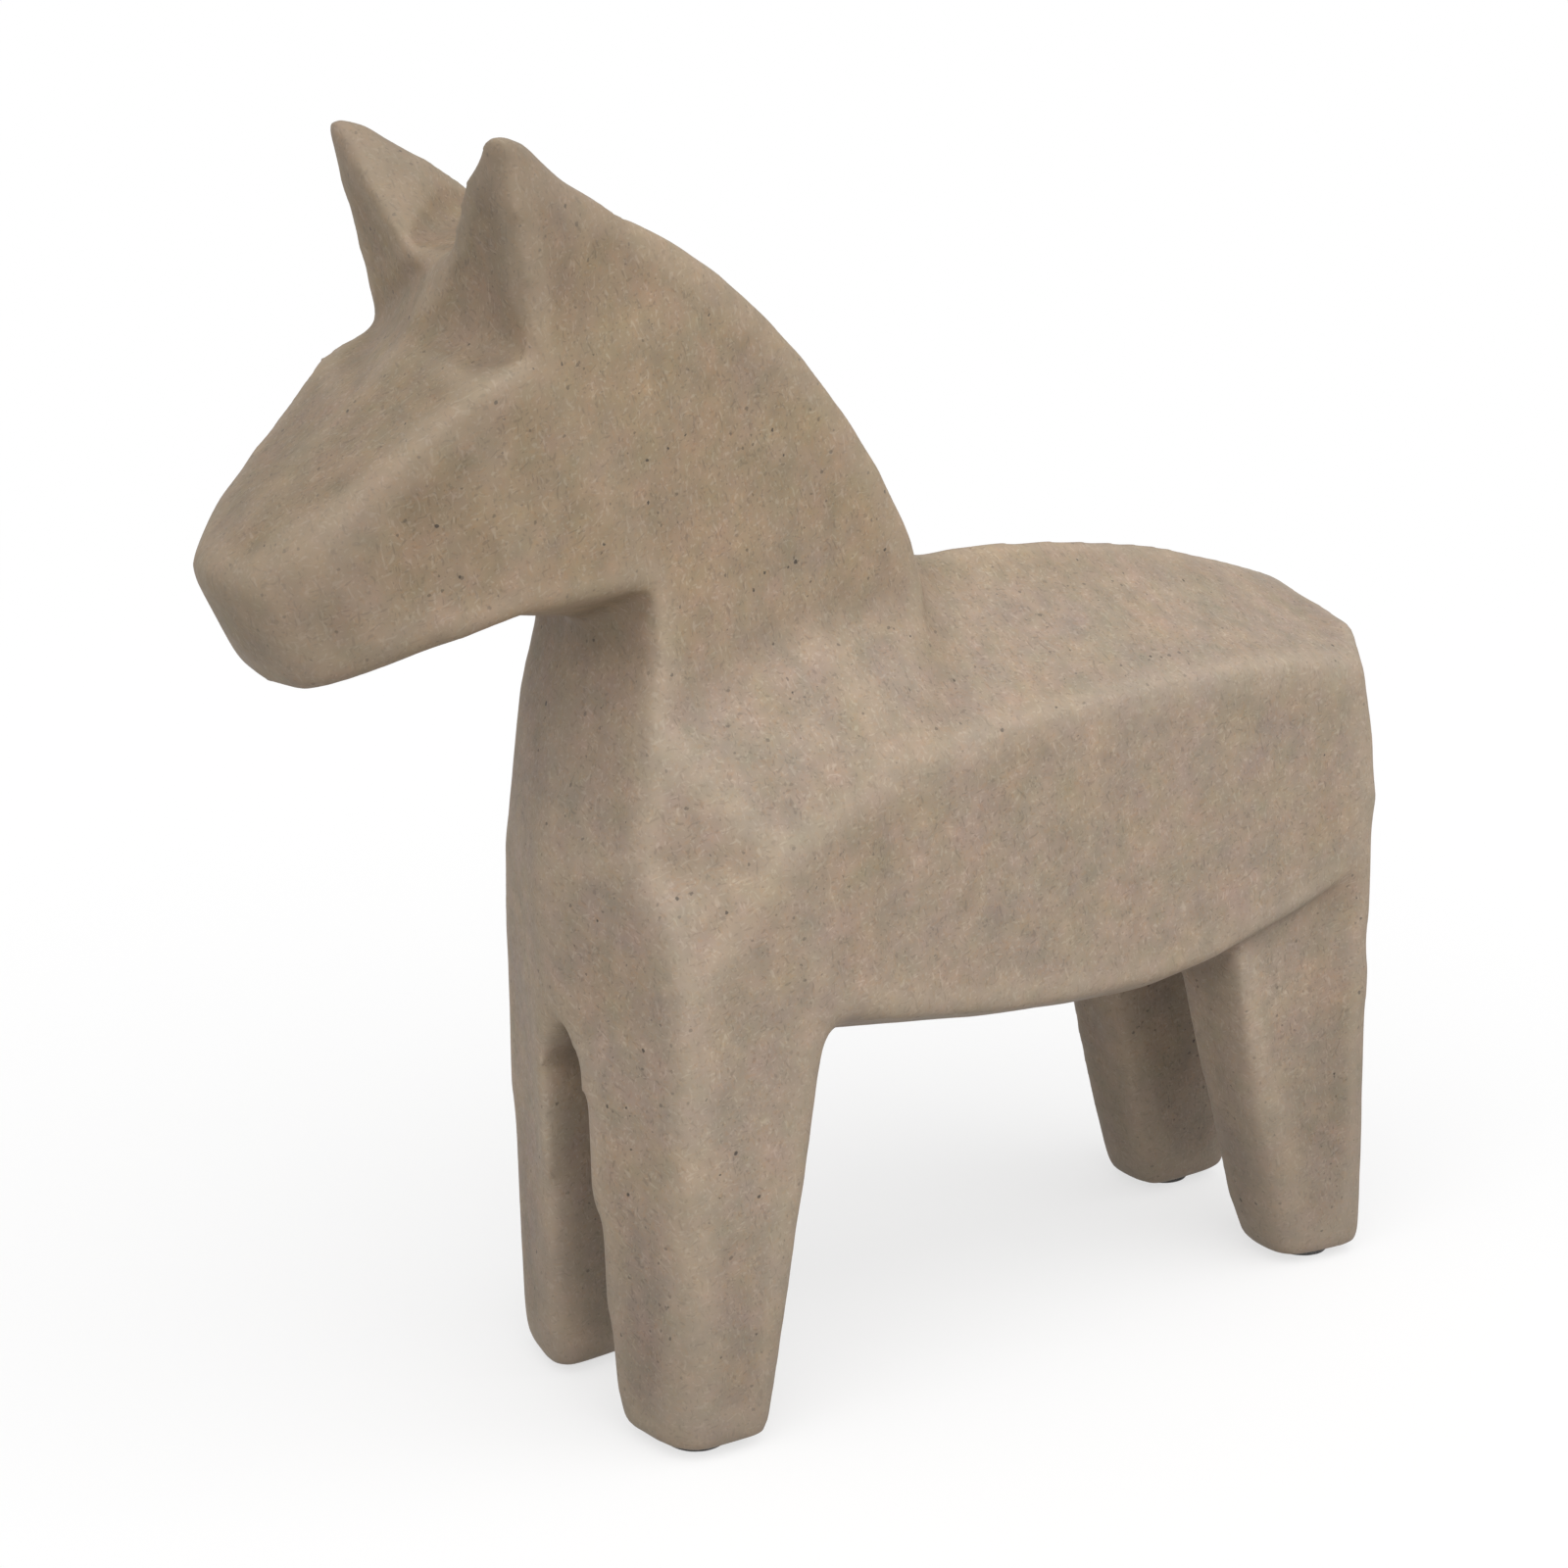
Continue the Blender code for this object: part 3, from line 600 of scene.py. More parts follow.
# %% Rubbing
FINE_GRAIN = 0.00095
MIDDLE_GRAIN = 0.0015
COARSE_GRAIN = 0.003
EDGE_REACH = 13 * MIDDLE_GRAIN**2
WORN_REACH = 36 * MIDDLE_GRAIN**2
HOLLOW_REACH = 12 * COARSE_GRAIN**2
STROKE_WEIGHT = 0.5
WORN_FULL = 0.004
WORN_END = 0.012
LEAST_WEIGHT = 0.001
WORN_LINES = [
    "front_toe_inner front_foot_inner front_foot_heel_inner front_foot_heel front_foot_outer "
    "front_toe_outer front_toe_inner",
    "hind_foot_inner hind_foot_heel_inner hind_foot_heel hind_foot_outer hind_toe_outer",
    "front_knee front_foot_outer",
    "front_knee_inner front_foot_inner",
    "flank_front front_foot_heel",
    "hind_knee hind_foot_outer",
    "thigh_rear hind_foot_heel",
    "ear_top_outer ear_top_back ear_top_back_inner ear_top_inner ear_top_outer",
    "bridge bridge_edge nose_edge nose chin chin_edge nose_edge",
    "chin_edge jaw_front",
    "throat breast chest leg_arch",
    "spine_4 dock dock_edge hip hip_rear",
    "wither ridge_front wither_edge",
]


def settle(obj):
    """Make what the modifiers show the object's own mesh."""
    graph = bpy.context.evaluated_depsgraph_get()
    mesh = bpy.data.meshes.new_from_object(obj.evaluated_get(graph))
    obj.modifiers.clear()
    obj.data = mesh
    return obj


def add_strokes(obj, grain, reach):
    """Smoothing whose reach is a number of strokes times the square of the grain."""
    strokes = obj.modifiers.new("strokes", "SMOOTH")
    strokes.factor = STROKE_WEIGHT
    strokes.iterations = round(reach / grain**2)
    return strokes


def rub(obj, grain, reach):
    """Even grid over the surface, rubbed soft."""
    grid = obj.modifiers.new("grid", "REMESH")
    grid.mode = "VOXEL"
    grid.voxel_size = grain
    grid.use_smooth_shade = True
    add_strokes(obj, grain, reach)
    return settle(obj)


rub(form, FINE_GRAIN, EDGE_REACH)
print("points on the rubbed form:", len(form.data.vertices))

# %% [markdown]
# Feet, leg edges, muzzle, ear tips, chest and croup are rounder than the rest: hands and cloths
# reach them first. Their lines are given as corners again. How close each point of the form lies
# to one of them becomes a weight between 0 and 1, and a second rubbing only works by that weight.

# %% More rubbing along the worn lines
def wear(obj, grain):
    corners = all_corners()
    places = np.array([vert.co for vert in obj.data.vertices])
    near = np.full(len(places), WORN_END)
    for line in WORN_LINES:
        points = [np.array(corners[corner]) for corner in line.split()]
        for a, b in zip(points, points[1:]):
            for side in (1, -1):
                start, way = a * (side, 1, 1), (b - a) * (side, 1, 1)
                along = np.clip((places - start) @ way / (way @ way), 0.0, 1.0)
                away = np.linalg.norm(places - start - along[:, None] * way, axis=1)
                near = np.minimum(near, away)
    share = np.clip((WORN_END - near) / (WORN_END - WORN_FULL), 0.0, 1.0)
    weights = share * share * (3.0 - 2.0 * share)
    group = obj.vertex_groups.new(name="worn")
    for index in np.flatnonzero(weights > LEAST_WEIGHT):
        group.add([int(index)], float(weights[index]), "REPLACE")
    add_strokes(obj, grain, WORN_REACH).vertex_group = "worn"
    settle(obj)
    obj.vertex_groups.clear()


wear(form, FINE_GRAIN)

# %% [markdown]
# ## Traces of the hand
# Flat facets of a real casting are never quite flat: the wax they were cast from was cut and
# scraped by hand. Two gentle layers of noise, one about as wide as a fingertip and one about as
# wide as a scraper's edge, move the surface by a tenth of a millimetre or so. It is far too
# little to see as a shape, but it stops the facets from looking machined in raking light.

# %% Traces of the hand
WAVES = [(0.020, 0.00016), (0.007, 0.00005)]


def numbers(owner, name, width):
    """One property of all elements of a mesh, as an array."""
    values = np.zeros(len(owner) * width, np.float32)
    owner.foreach_get(name, values)
    return values.reshape(-1, width) if width > 1 else values


def add_waves(obj):
    mesh = obj.data
    places = numbers(mesh.vertices, "co", 3)
    normals = numbers(mesh.vertices, "normal", 3)
    height = np.zeros(len(places))
    for size, depth in WAVES:
        height += depth * np.array([noise.noise(Vector(p) / size) for p in places])
    mesh.vertices.foreach_set("co", (places + normals * height[:, None]).ravel())
    mesh.update()


add_waves(form)

# %% [markdown]
# ## Where edges wear and creases are shaded
# Ridges get rubbed paler and creases get a little painted shade, so the material has to know where
# they are. The mesh can tell: where a point stands proud of the average of its surroundings there is
# a ridge, and where it lies below there is a crease. Both are measured once over about 3 mm and
# stored with the surface as two values between 0 and 1.

# %% Ridges and creases
SURROUND_STROKES = 30
FULL_RIDGE = 0.00016


def neighbour_mean(places, pairs, count):
    """Mean of each point's neighbours."""
    total = np.zeros_like(places)
    for axis in range(3):
        total[:, axis] = np.bincount(pairs[:, 0], places[pairs[:, 1], axis], len(places))
        total[:, axis] += np.bincount(pairs[:, 1], places[pairs[:, 0], axis], len(places))
    return total / count[:, None]


def proudness(mesh):
    """How far each point stands out of its surroundings, in metres."""
    pairs = np.zeros(len(mesh.edges) * 2, np.int32)
    mesh.edges.foreach_get("vertices", pairs)
    pairs = pairs.reshape(-1, 2)
    count = np.bincount(pairs.ravel(), minlength=len(mesh.vertices))
    places = numbers(mesh.vertices, "co", 3).astype(float)
    around = places
    for _ in range(SURROUND_STROKES):
        around = (around + neighbour_mean(around, pairs, count)) / 2.0
    return ((places - around) * numbers(mesh.vertices, "normal", 3)).sum(axis=1)


proud = proudness(form.data)
marks = {
    "ridge": np.clip(proud / FULL_RIDGE, 0.0, 1.0),
    "crease": np.clip(-proud / FULL_RIDGE, 0.0, 1.0),
}
print("share of the surface that is ridge:", round(float((marks["ridge"] > 0.5).mean()), 3))

# %% [markdown]
# ## Hollow, drillings and flat soles
# Nobody sees the inside of the horse, but the shells are made as they may be cast: hollow in head,
# neck and trunk, with room for the wires in the legs, the pins in the wall and the filler in the
# belly, and ground flat under the feet. Each is a cutter that is taken away from the form. Most
# bores are round bars along a straight piece, with a third of a millimetre of room all over. The
# pour hole is the one that goes right through the wall, so its cutter is longer than the filler.

# %% Cutters
WALL = 0.006
CLEARANCE = 0.0003
FAR = 0.3
SOLE = 0.0013
BORE_SIDES = 24
POUR_SIDES = 48


def hollow_cutter():
    """Rounded form, one wall inside the surface."""
    hollow = facet_object("hollow", [HEAD_AND_NECK, TRUNK, HOLLOW_ENDS])
    rub(hollow, COARSE_GRAIN, HOLLOW_REACH)
    sink = hollow.modifiers.new("sink", "DISPLACE")
    sink.strength = -WALL
    sink.mid_level = 0.0
    return rub(settle(hollow), COARSE_GRAIN, HOLLOW_REACH)


def ground_cutter():
    """Everything below the flat soles."""
    bm = bmesh.new()
    size = Matrix.Diagonal((2 * FAR, 2 * FAR, FAR, 1.0))
    bmesh.ops.create_cube(bm, size=1.0, matrix=Matrix.Translation((0, 0, SOLE - FAR / 2)) @ size)
    return object_from("ground", bm)


def round_cutter(name, middle, turn, radius, length, sides):
    bm = bmesh.new()
    bmesh.ops.create_cone(
        bm,
        cap_ends=True,
        segments=sides,
        radius1=radius + CLEARANCE,
        radius2=radius + CLEARANCE,
        depth=length,
        matrix=Matrix.Translation(middle) @ turn,
    )
    return object_from(name, bm)


def bar_cutter(node):
    """A round bar over a straight CAD piece, whose axis is the longest way through its points."""
    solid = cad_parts[node].data
    places = numbers(solid.vertices, "co", 3).astype(float)
    middle = places.mean(axis=0)
    axis = Vector(np.linalg.svd(places - middle, full_matrices=False)[2][0])
    along = (places - middle) @ np.array(axis)
    out = np.linalg.norm(places - middle - along[:, None] * np.array(axis), axis=1)
    turn = axis.to_track_quat("Z", "Y").to_matrix().to_4x4()
    length = float(along.max() - along.min()) + 2 * CLEARANCE
    return round_cutter(f"{node}_bore", middle, turn, out.max(), length, BORE_SIDES)


def pour_cutter():
    low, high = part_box("belly_plug")
    radius, length = (high.x - low.x) / 2, high.z - low.z + 2 * WALL
    return round_cutter("pour_hole", (low + high) / 2, Matrix(), radius, length, POUR_SIDES)

# %% Cutting
def cut(obj, cutters):
    """Take the cutters away from an object, and clear them up."""
    for cutter in cutters:
        step = obj.modifiers.new(cutter.name, "BOOLEAN")
        step.operation = "DIFFERENCE"
        step.object = cutter
        step.solver = "EXACT"
    settle(obj)
    for cutter in cutters:
        bpy.data.objects.remove(cutter)


whole = add_object("whole", form.data.copy())
bored = [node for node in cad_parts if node.startswith(("leg_rod", "locating_pin"))]
bores = [bar_cutter(node) for node in bored]
cut(whole, [ground_cutter(), hollow_cutter(), pour_cutter()] + bores)
print("points after cutting:", len(whole.data.vertices))

# %% [markdown]
# ## Two halves without a line between them
# The form is cut through on the middle plane and each half is closed again with a flat bond face.
# A plain cut would show as a line, because each half would then shade its rim by its own facets
# only. So every point on the outside gets back the exact slant that the whole form had there, and
# the two halves meet as one surface, as they would along a filled and rubbed bond line.

# %% Reading the whole form
form_places = [Vector(place) for place in numbers(form.data.vertices, "co", 3)]
form_normals = numbers(form.data.vertices, "normal", 3)
form_faces = [tuple(face.vertices) for face in form.data.polygons]
form_tree = BVHTree.FromPolygons(form_places, form_faces)


def read_form(place):
    """Distance to the form, and the slant, ridge and crease of the form at the nearest point."""
    near, _, face, distance = form_tree.find_nearest(place)
    corners = list(form_faces[face])
    share = np.array(poly_3d_calc([form_places[i] for i in corners], near))
    slant = share @ form_normals[corners]
    # The ridge value marks rubbed wear, and the crease value marks where painted shade goes
    worn = [share @ values[corners] for values in marks.values()]
    return distance, slant / np.linalg.norm(slant), *worn

# %% The two halves
ON_SURFACE = 0.00004
SAME_SLANT = 0.3
ON_PLANE = 0.00001


def half_of(name, side):
    """The part of the form on one side of the middle plane, closed with a flat bond face."""
    bm = bmesh.new()
    bm.from_mesh(whole.data)
    everything = bm.verts[:] + bm.edges[:] + bm.faces[:]
    away = (-side, 0, 0)
    bmesh.ops.bisect_plane(
        bm, geom=everything, dist=ON_PLANE, plane_co=(0, 0, 0), plane_no=away, clear_outer=True
    )
    rim = [edge for edge in bm.edges if edge.is_boundary]
    bmesh.ops.triangle_fill(bm, use_beauty=True, edges=rim, normal=away)
    return object_from(name, bm)


def take_over_form(obj):
    """Slants, ridges and creases of the whole form, on the outside of one half."""
    mesh = obj.data
    readings = [read_form(vert.co) for vert in mesh.vertices]
    for place, name in enumerate(marks):
        values = mesh.attributes.new(name, "FLOAT", "POINT")
        values.data.foreach_set("value", [float(reading[2 + place]) for reading in readings])
    slants = []
    for face in mesh.polygons:
        flat = np.array(face.normal)
        seen = [readings[i] for i in face.vertices]
        outside = all(r[0] < ON_SURFACE and flat @ r[1] > SAME_SLANT for r in seen)
        face.use_smooth = outside
        slants += [tuple(r[1] if outside else flat) for r in seen]
    mesh.normals_split_custom_set(slants)


halves = {}
for hand, side in (("left", 1), ("right", -1)):
    half = half_of(f"{hand}_skin", side)
    take_over_form(half)
    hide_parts(f"{hand}_shell")
    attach(half, "root")
    halves[hand] = half
    uses = np.bincount([loop.edge_index for loop in half.data.loops])
    print(half.name, "faces:", len(half.data.polygons), "open edges:", int((uses < 2).sum()))
bpy.data.objects.remove(form)
bpy.data.objects.remove(whole)

# %% [markdown]
# ## Patterns
# Stone-powder resin is a mixture: fine sand, short pale and dark fibres that curl every way, a few
# larger dark grains, clouds where the mixture is a little yellower or greyer, and mottling where
# it was stirred unevenly. Each of these is one pattern, made once as a group and used by every
# cast material with its own sizes. They all work on the place inside the object, not on its
# surface, as in the real mixture, so a pattern runs on unbroken round every edge and over the bond
# line. Most of them start from noise, so that comes first.

# %% Noise
def noise_at(tree, place, scale, detail, roughness=0.5):
    """Outputs of a Noise texture: a value, and a colour of three such values."""
    inputs = {"Vector": place, "Scale": scale, "Detail": detail, "Roughness": roughness}
    return add_node(tree, "TexNoise", inputs).outputs


def swing(tree, colour, reach):
    """The colour of a noise as a vector that points any way."""
    centred = vector_maths(tree, "SUBTRACT", colour, (0.5, 0.5, 0.5))
    return add_node(tree, "VectorMath", {0: centred, "Scale": reach}, operation="SCALE").outputs[0]


def moved(tree, place, offset):
    """A pattern's place moved on, by a fixed step or by a swing."""
    return vector_maths(tree, "ADD", place, offset)

# %% Clouds, sand and mottling
def clouds_group():
    """Soft clouds: 0 to 1, half of the surface above 0.5."""
    inputs = {"Size": 0.05, "Contrast": 2.0}
    group, given, result = new_group("clouds", inputs, {"Cloud": "Float"})
    scale = maths(group, "DIVIDE", 1.0, given["Size"])
    cloud = noise_at(group, given["Place"], scale, 3.0)[0]
    centred = maths(group, "SUBTRACT", cloud, 0.5)
    spread = maths(group, "MULTIPLY_ADD", centred, given["Contrast"], 0.5, clamp=True)
    group.links.new(spread, result["Cloud"])
    return group


def sand_group():
    """Sand: height of the grains, and a value round 1 that makes each a little paler or darker."""
    inputs = {"Size": 0.0005, "Contrast": 0.3}
    group, given, result = new_group("sand", inputs, {"Height": "Float", "Tint": "Float"})
    scale = maths(group, "DIVIDE", 1.0, given["Size"])
    height = noise_at(group, given["Place"], scale, 2.0, 0.6)[0]
    centred = maths(group, "SUBTRACT", height, 0.5)
    tint = maths(group, "MULTIPLY_ADD", centred, given["Contrast"], 1.0)
    group.links.new(height, result["Height"])
    group.links.new(tint, result["Tint"])
    return group


def mottle_group():
    """Uneven mixing: a colour close to white, to multiply by, that wanders in depth and in hue."""
    inputs = {"Size": 0.003, "Depth": 0.1, "Hue": 0.04}
    group, given, result = new_group("mottle", inputs, {"Tint": "Color"})
    scale = maths(group, "DIVIDE", 1.0, given["Size"])
    noises = noise_at(group, given["Place"], scale, 1.0)
    centred = maths(group, "SUBTRACT", noises[0], 0.5)
    level = maths(group, "MULTIPLY_ADD", centred, given["Depth"], 1.0)
    tint = moved(group, grey(group, level), swing(group, noises[1], given["Hue"]))
    group.links.new(tint, result["Tint"])
    return group


clouds = clouds_group()
sand = sand_group()
mottle = mottle_group()

# %% [markdown]
# A fibre is noise that is stretched a lot along one direction and bent by wider noise: only its
# highest crests are kept. The threshold falls as more of the surface is to be covered.

# %% Fibres
BENDS_PER_METRE = 300.0
FIBRE_EDGE = 0.14


def fibres_group():
    """Short curled fibres along one direction: a mask from 0 to 1."""
    sizes = {"Length": 0.0014, "Width": 0.00028, "Curl": 0.0012, "Cover": 0.4}
    inputs = {"Turn": (0.0, 0.0, 0.0), **sizes}
    group, given, result = new_group("fibres", inputs, {"Fibre": "Float"})
    bend = noise_at(group, given["Place"], BENDS_PER_METRE, 1.0)["Color"]
    bent = moved(group, given["Place"], swing(group, bend, given["Curl"]))
    thick = given["Width"]
    size = add_node(group, "CombineXYZ", {0: given["Length"], 1: thick, 2: thick}).outputs[0]
    mapping = {"Vector": bent, "Rotation": given["Turn"], "Scale": size}
    turned = add_node(group, "Mapping", mapping, vector_type="TEXTURE").outputs[0]
    strand = noise_at(group, turned, 1.0, 0.0)[0]
    low = maths(group, "MULTIPLY_ADD", given["Cover"], -0.25, 0.74)
    fibre = step_up(group, strand, low, maths(group, "ADD", low, FIBRE_EDGE))
    group.links.new(fibre, result["Fibre"])
    return group


fibres = fibres_group()

# %% [markdown]
# Voronoi cells scatter the grains: each cell has one point and one random colour. The colour's red
# decides whether there is a grain at the point at all, and its green how large it is.

# %% Dark grains
NOTCHES_PER_METRE = 1600.0
NOTCH_REACH = 0.0006


def grains_group():
    """Scattered single grains: a mask from 0 to 1."""
    inputs = {"Spacing": 0.004, "Size": 0.0004, "Share": 0.3}
    group, given, result = new_group("grains", inputs, {"Grain": "Float"})
    notches = noise_at(group, given["Place"], NOTCHES_PER_METRE, 1.0)["Color"]
    ragged = moved(group, given["Place"], swing(group, notches, NOTCH_REACH))
    scale = maths(group, "DIVIDE", 1.0, given["Spacing"])
    cell = add_node(group, "TexVoronoi", {"Vector": ragged, "Scale": scale}).outputs
    chance = add_node(group, "SeparateColor", {0: cell["Color"]}).outputs
    away = maths(group, "MULTIPLY", cell["Distance"], given["Spacing"])
    larger = maths(group, "MULTIPLY_ADD", chance["Green"], 0.7, 0.5)
    own_size = maths(group, "MULTIPLY", given["Size"], larger)
    core = maths(group, "MULTIPLY", own_size, 0.6)
    inside = maths(group, "SUBTRACT", 1.0, step_up(group, away, core, own_size))
    there = maths(group, "LESS_THAN", chance["Red"], given["Share"])
    group.links.new(maths(group, "MULTIPLY", inside, there), result["Grain"])
    return group


grains = grains_group()
print("groups:", [group.name for group in bpy.data.node_groups])

# %% [markdown]
# ## The stone mixture
# The colour starts from two neighbouring tones, a pinkish grey and a yellower beige. The yellower
# one gathers in head and neck. Fibres in three directions and three tones, sand, mottling and dark
# grains follow, each mixed in over the last. Each row of a table below is one layer of them.

# %% Layers of the mixture
GREY_BEIGE = (0.325, 0.256, 0.196)
OCHRE_BEIGE = (0.318, 0.234, 0.150)
PALE_FIBRE = (0.52, 0.44, 0.35)
DARK_FIBRE = (0.13, 0.095, 0.068)
RUST_FIBRE = (0.36, 0.21, 0.10)
DARK_GRAIN = (0.045, 0.034, 0.028)
# Dark of the painted shade in creases, and also the filler's own darker tone
SHADE_AND_FILLER_DARK = (0.20, 0.145, 0.10)
TURNS = [(0.3, 0.5, 0.2), (1.3, -0.4, 1.1), (-0.6, 1.2, 2.2)]
FIBRE_CURL = 0.0020
# Colour, strength, cover, length, width and offset of the fibres
FIBRE_LAYERS = [
    (PALE_FIBRE, 0.30, 0.30, 0.0022, 0.00055, (0.3, 0.1, 0.7)),
    (DARK_FIBRE, 0.36, 0.26, 0.0020, 0.00055, (0.9, 0.4, 0.2)),
    (RUST_FIBRE, 0.24, 0.30, 0.0018, 0.00060, (0.5, 0.8, 0.4)),
]
# Size, depth and hue of the mottling, and spacing, size, share and strength of the grains
MOTTLE_LAYERS = [(0.0026, 0.27, 0.07), (0.0055, 0.28, 0.09), (0.0120, 0.18, 0.07)]
GRAIN_LAYERS = [(0.0042, 0.00042, 0.45, 0.88), (0.0023, 0.00038, 0.45, 0.50)]


def crossed_fibres(tree, place, cover, length, width):
    """Fibres in three directions together."""
    mask = 0.0
    for turn in TURNS:
        sizes = {"Length": length, "Width": width, "Curl": FIBRE_CURL, "Cover": cover}
        one = use_group(tree, fibres, Place=place, Turn=turn, **sizes)["Fibre"]
        mask = maths(tree, "MAXIMUM", mask, one)
    return mask


def mixture_colour(tree, place, ochre_share):
    """Colour and grain height of the cast mixture."""
    tone = blend_colours(tree, ochre_share, GREY_BEIGE, OCHRE_BEIGE)
    for colour, strength, cover, length, width, offset in FIBRE_LAYERS:
        mask = crossed_fibres(tree, moved(tree, place, offset), cover, length, width)
        tone = blend_colours(tree, maths(tree, "MULTIPLY", mask, strength), tone, colour)
    grit = use_group(tree, sand, Place=place, Size=0.0016, Contrast=0.20)
    tone = blend_colours(tree, 1.0, tone, grey(tree, grit["Tint"]), "MULTIPLY")
    for size, depth, hue in MOTTLE_LAYERS:
        uneven = use_group(tree, mottle, Place=place, Size=size, Depth=depth, Hue=hue)["Tint"]
        tone = blend_colours(tree, 1.0, tone, uneven, "MULTIPLY")
    for spacing, size, share, strength in GRAIN_LAYERS:
        speck = use_group(tree, grains, Place=place, Spacing=spacing, Size=size, Share=share)["Grain"]
        tone = blend_colours(tree, maths(tree, "MULTIPLY", speck, strength), tone, DARK_GRAIN)
    return tone, grit["Height"]

# %% [markdown]
# The shells add what use does to the mixture, and some painted shade. Muzzle, ears and feet are
# painted darker than the trunk, and how dark follows the distance from the middle of the trunk; at
# the feet it stands in for shade, where less light comes from below. Ridges are rubbed a little
# paler and creases get a little painted shade. The surface is matt but not dusty: it was sealed, so
# it keeps a soft sheen where it is seen at a low angle.

# %% Stone of the shells
RIDGE_PALE = (0.50, 0.41, 0.31)
RIDGE_SHARE = 0.22
# Share of the painted shade in creases
CREASE_SHADE_SHARE = 0.25
NECK_HEIGHTS = (0.125, 0.165)
TRUNK_MIDDLE = (0.0, 0.015, 0.125)
# Painted darkening of muzzle, ears and feet by distance from the trunk; at the feet it is painted shade
ENDS_DARKENING_RANGE = (0.093, 0.132)
ENDS_DARKENING_DEPTH = 0.30


def stone_material():
    material, tree, shader, place = new_material("stone_mixture")
    wide = use_group(tree, clouds, Place=place, Size=0.045, Contrast=2.6)["Cloud"]
    elsewhere = moved(tree, place, (1.0, 2.0, 3.0))
    patch = use_group(tree, clouds, Place=elsewhere, Size=0.012, Contrast=2.2)["Cloud"]
    upper = step_up(tree, add_node(tree, "SeparateXYZ", {0: place}).outputs["Z"], *NECK_HEIGHTS)
    ochre = maths(tree, "MULTIPLY_ADD", upper, 0.75, maths(tree, "MULTIPLY", wide, 0.30))
    ochre = maths(tree, "SUBTRACT", ochre, 0.25)
    ochre = maths(tree, "MULTIPLY_ADD", patch, 0.60, ochre, clamp=True)
    tone, grit = mixture_colour(tree, place, ochre)
    from_middle = vector_maths(tree, "DISTANCE", place, TRUNK_MIDDLE, "Value")
    # Painted darker towards muzzle, ears and feet; at the feet this is painted shade
    towards_ends = step_up(tree, from_middle, *ENDS_DARKENING_RANGE)
    shade = maths(tree, "MULTIPLY_ADD", towards_ends, -ENDS_DARKENING_DEPTH, 0.95)
    shade = maths(tree, "MULTIPLY_ADD", patch, 0.10, shade)
    tone = blend_colours(tree, 1.0, tone, grey(tree, shade), "MULTIPLY")
    # Rubbed ridges get paler; creases get painted shade
    wear_and_shade_marks = [("ridge", RIDGE_SHARE, RIDGE_PALE), ("crease", CREASE_SHADE_SHARE, SHADE_AND_FILLER_DARK)]
    for name, share, colour in wear_and_shade_marks:
        mark = add_node(tree, "Attribute", attribute_name=name).outputs["Fac"]
        tone = blend_colours(tree, maths(tree, "MULTIPLY", mark, share), tone, colour)
    rough = maths(tree, "MULTIPLY_ADD", grit, 0.30, 0.50)
    uneven = use_group(tree, clouds, Place=place, Size=0.003, Contrast=1.5)["Cloud"]
    relief = maths(tree, "MULTIPLY_ADD", uneven, 0.6, grit)
    finish(tree, shader, tone, rough, relief, 0.55, 0.00012)
    return material


stone = stone_material()
for half in halves.values():
    half.data.materials.clear()
    half.data.materials.append(stone)
print("stone nodes:", len(stone.node_tree.nodes))

# %% [markdown]
# ## Turned pieces
# The filler in the belly and the felt pads are both short round pieces with a soft rim. They are
# drawn as half a section, from the middle of the underside over the rim to the middle of the top,
# and turned once round. A little noise at the rim keeps them from looking like coins.

# %% Turned pieces
TURN_STEPS = 72


def turned_piece(name, node, section, unevenness):
    """A round piece in the place of a CAD node. Section points are shares of radius and height."""
    low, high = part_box(node)
    middle = (low + high) / 2
    radius = (high.x - low.x) / 2
    bm = bmesh.new()
    rings = []
    for reach, rise in section:
        ring = []
        for step in range(TURN_STEPS if reach > 0.0 else 1):
            angle = 2 * math.pi * step / TURN_STEPS
            way = Vector((math.cos(angle), math.sin(angle), 0.0))
            inward = unevenness * (1.0 + noise.noise(way * 3.0 + middle * 100.0)) / 2.0
            place = middle + way * max(radius * reach - inward * reach, 0.0)
            place.z = low.z + (high.z - low.z) * rise
            ring.append(bm.verts.new(place))
        rings.append(ring)
    for lower, upper in zip(rings, rings[1:]):
        for step in range(TURN_STEPS):
            ends = ((lower, step), (lower, step + 1), (upper, step + 1), (upper, step))
            loop = [ring[i % len(ring)] for ring, i in ends]
            face = bm.faces.new(list(dict.fromkeys(loop)))
            face.smooth = True
    piece = object_from(name, bm)
    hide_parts(node)
    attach(piece, "root")
    return piece

# %% [markdown]
# ## Filler in the belly
# The pour hole is closed with more of the same mixture, pressed in with a spatula and wiped. It
# dries with a slightly hollow face and a fine ring round it. It is a little darker and coarser
# than the casting, because it was never rubbed and sealed.

# %% Filler
FILLER_SECTION = [
    (0.0, 0.07), (0.30, 0.06), (0.60, 0.04), (0.82, 0.01), (0.93, 0.0), (0.98, 0.03),
    (1.0, 0.08), (1.0, 0.90), (0.96, 0.98), (0.80, 1.0), (0.40, 0.97), (0.0, 0.96),
]


def filler_material():
    material, tree, shader, place = new_material("belly_filler")
    cloud = use_group(tree, clouds, Place=place, Size=0.004, Contrast=2.5)["Cloud"]
    tone, grit = mixture_colour(tree, place, cloud)
    tone = blend_colours(tree, 0.35, tone, SHADE_AND_FILLER_DARK)
    rough = maths(tree, "MULTIPLY_ADD", grit, 0.25, 0.65)
    relief = maths(tree, "MULTIPLY_ADD", cloud, 1.5, grit)
    finish(tree, shader, tone, rough, relief, 0.8, 0.0002)
    return material


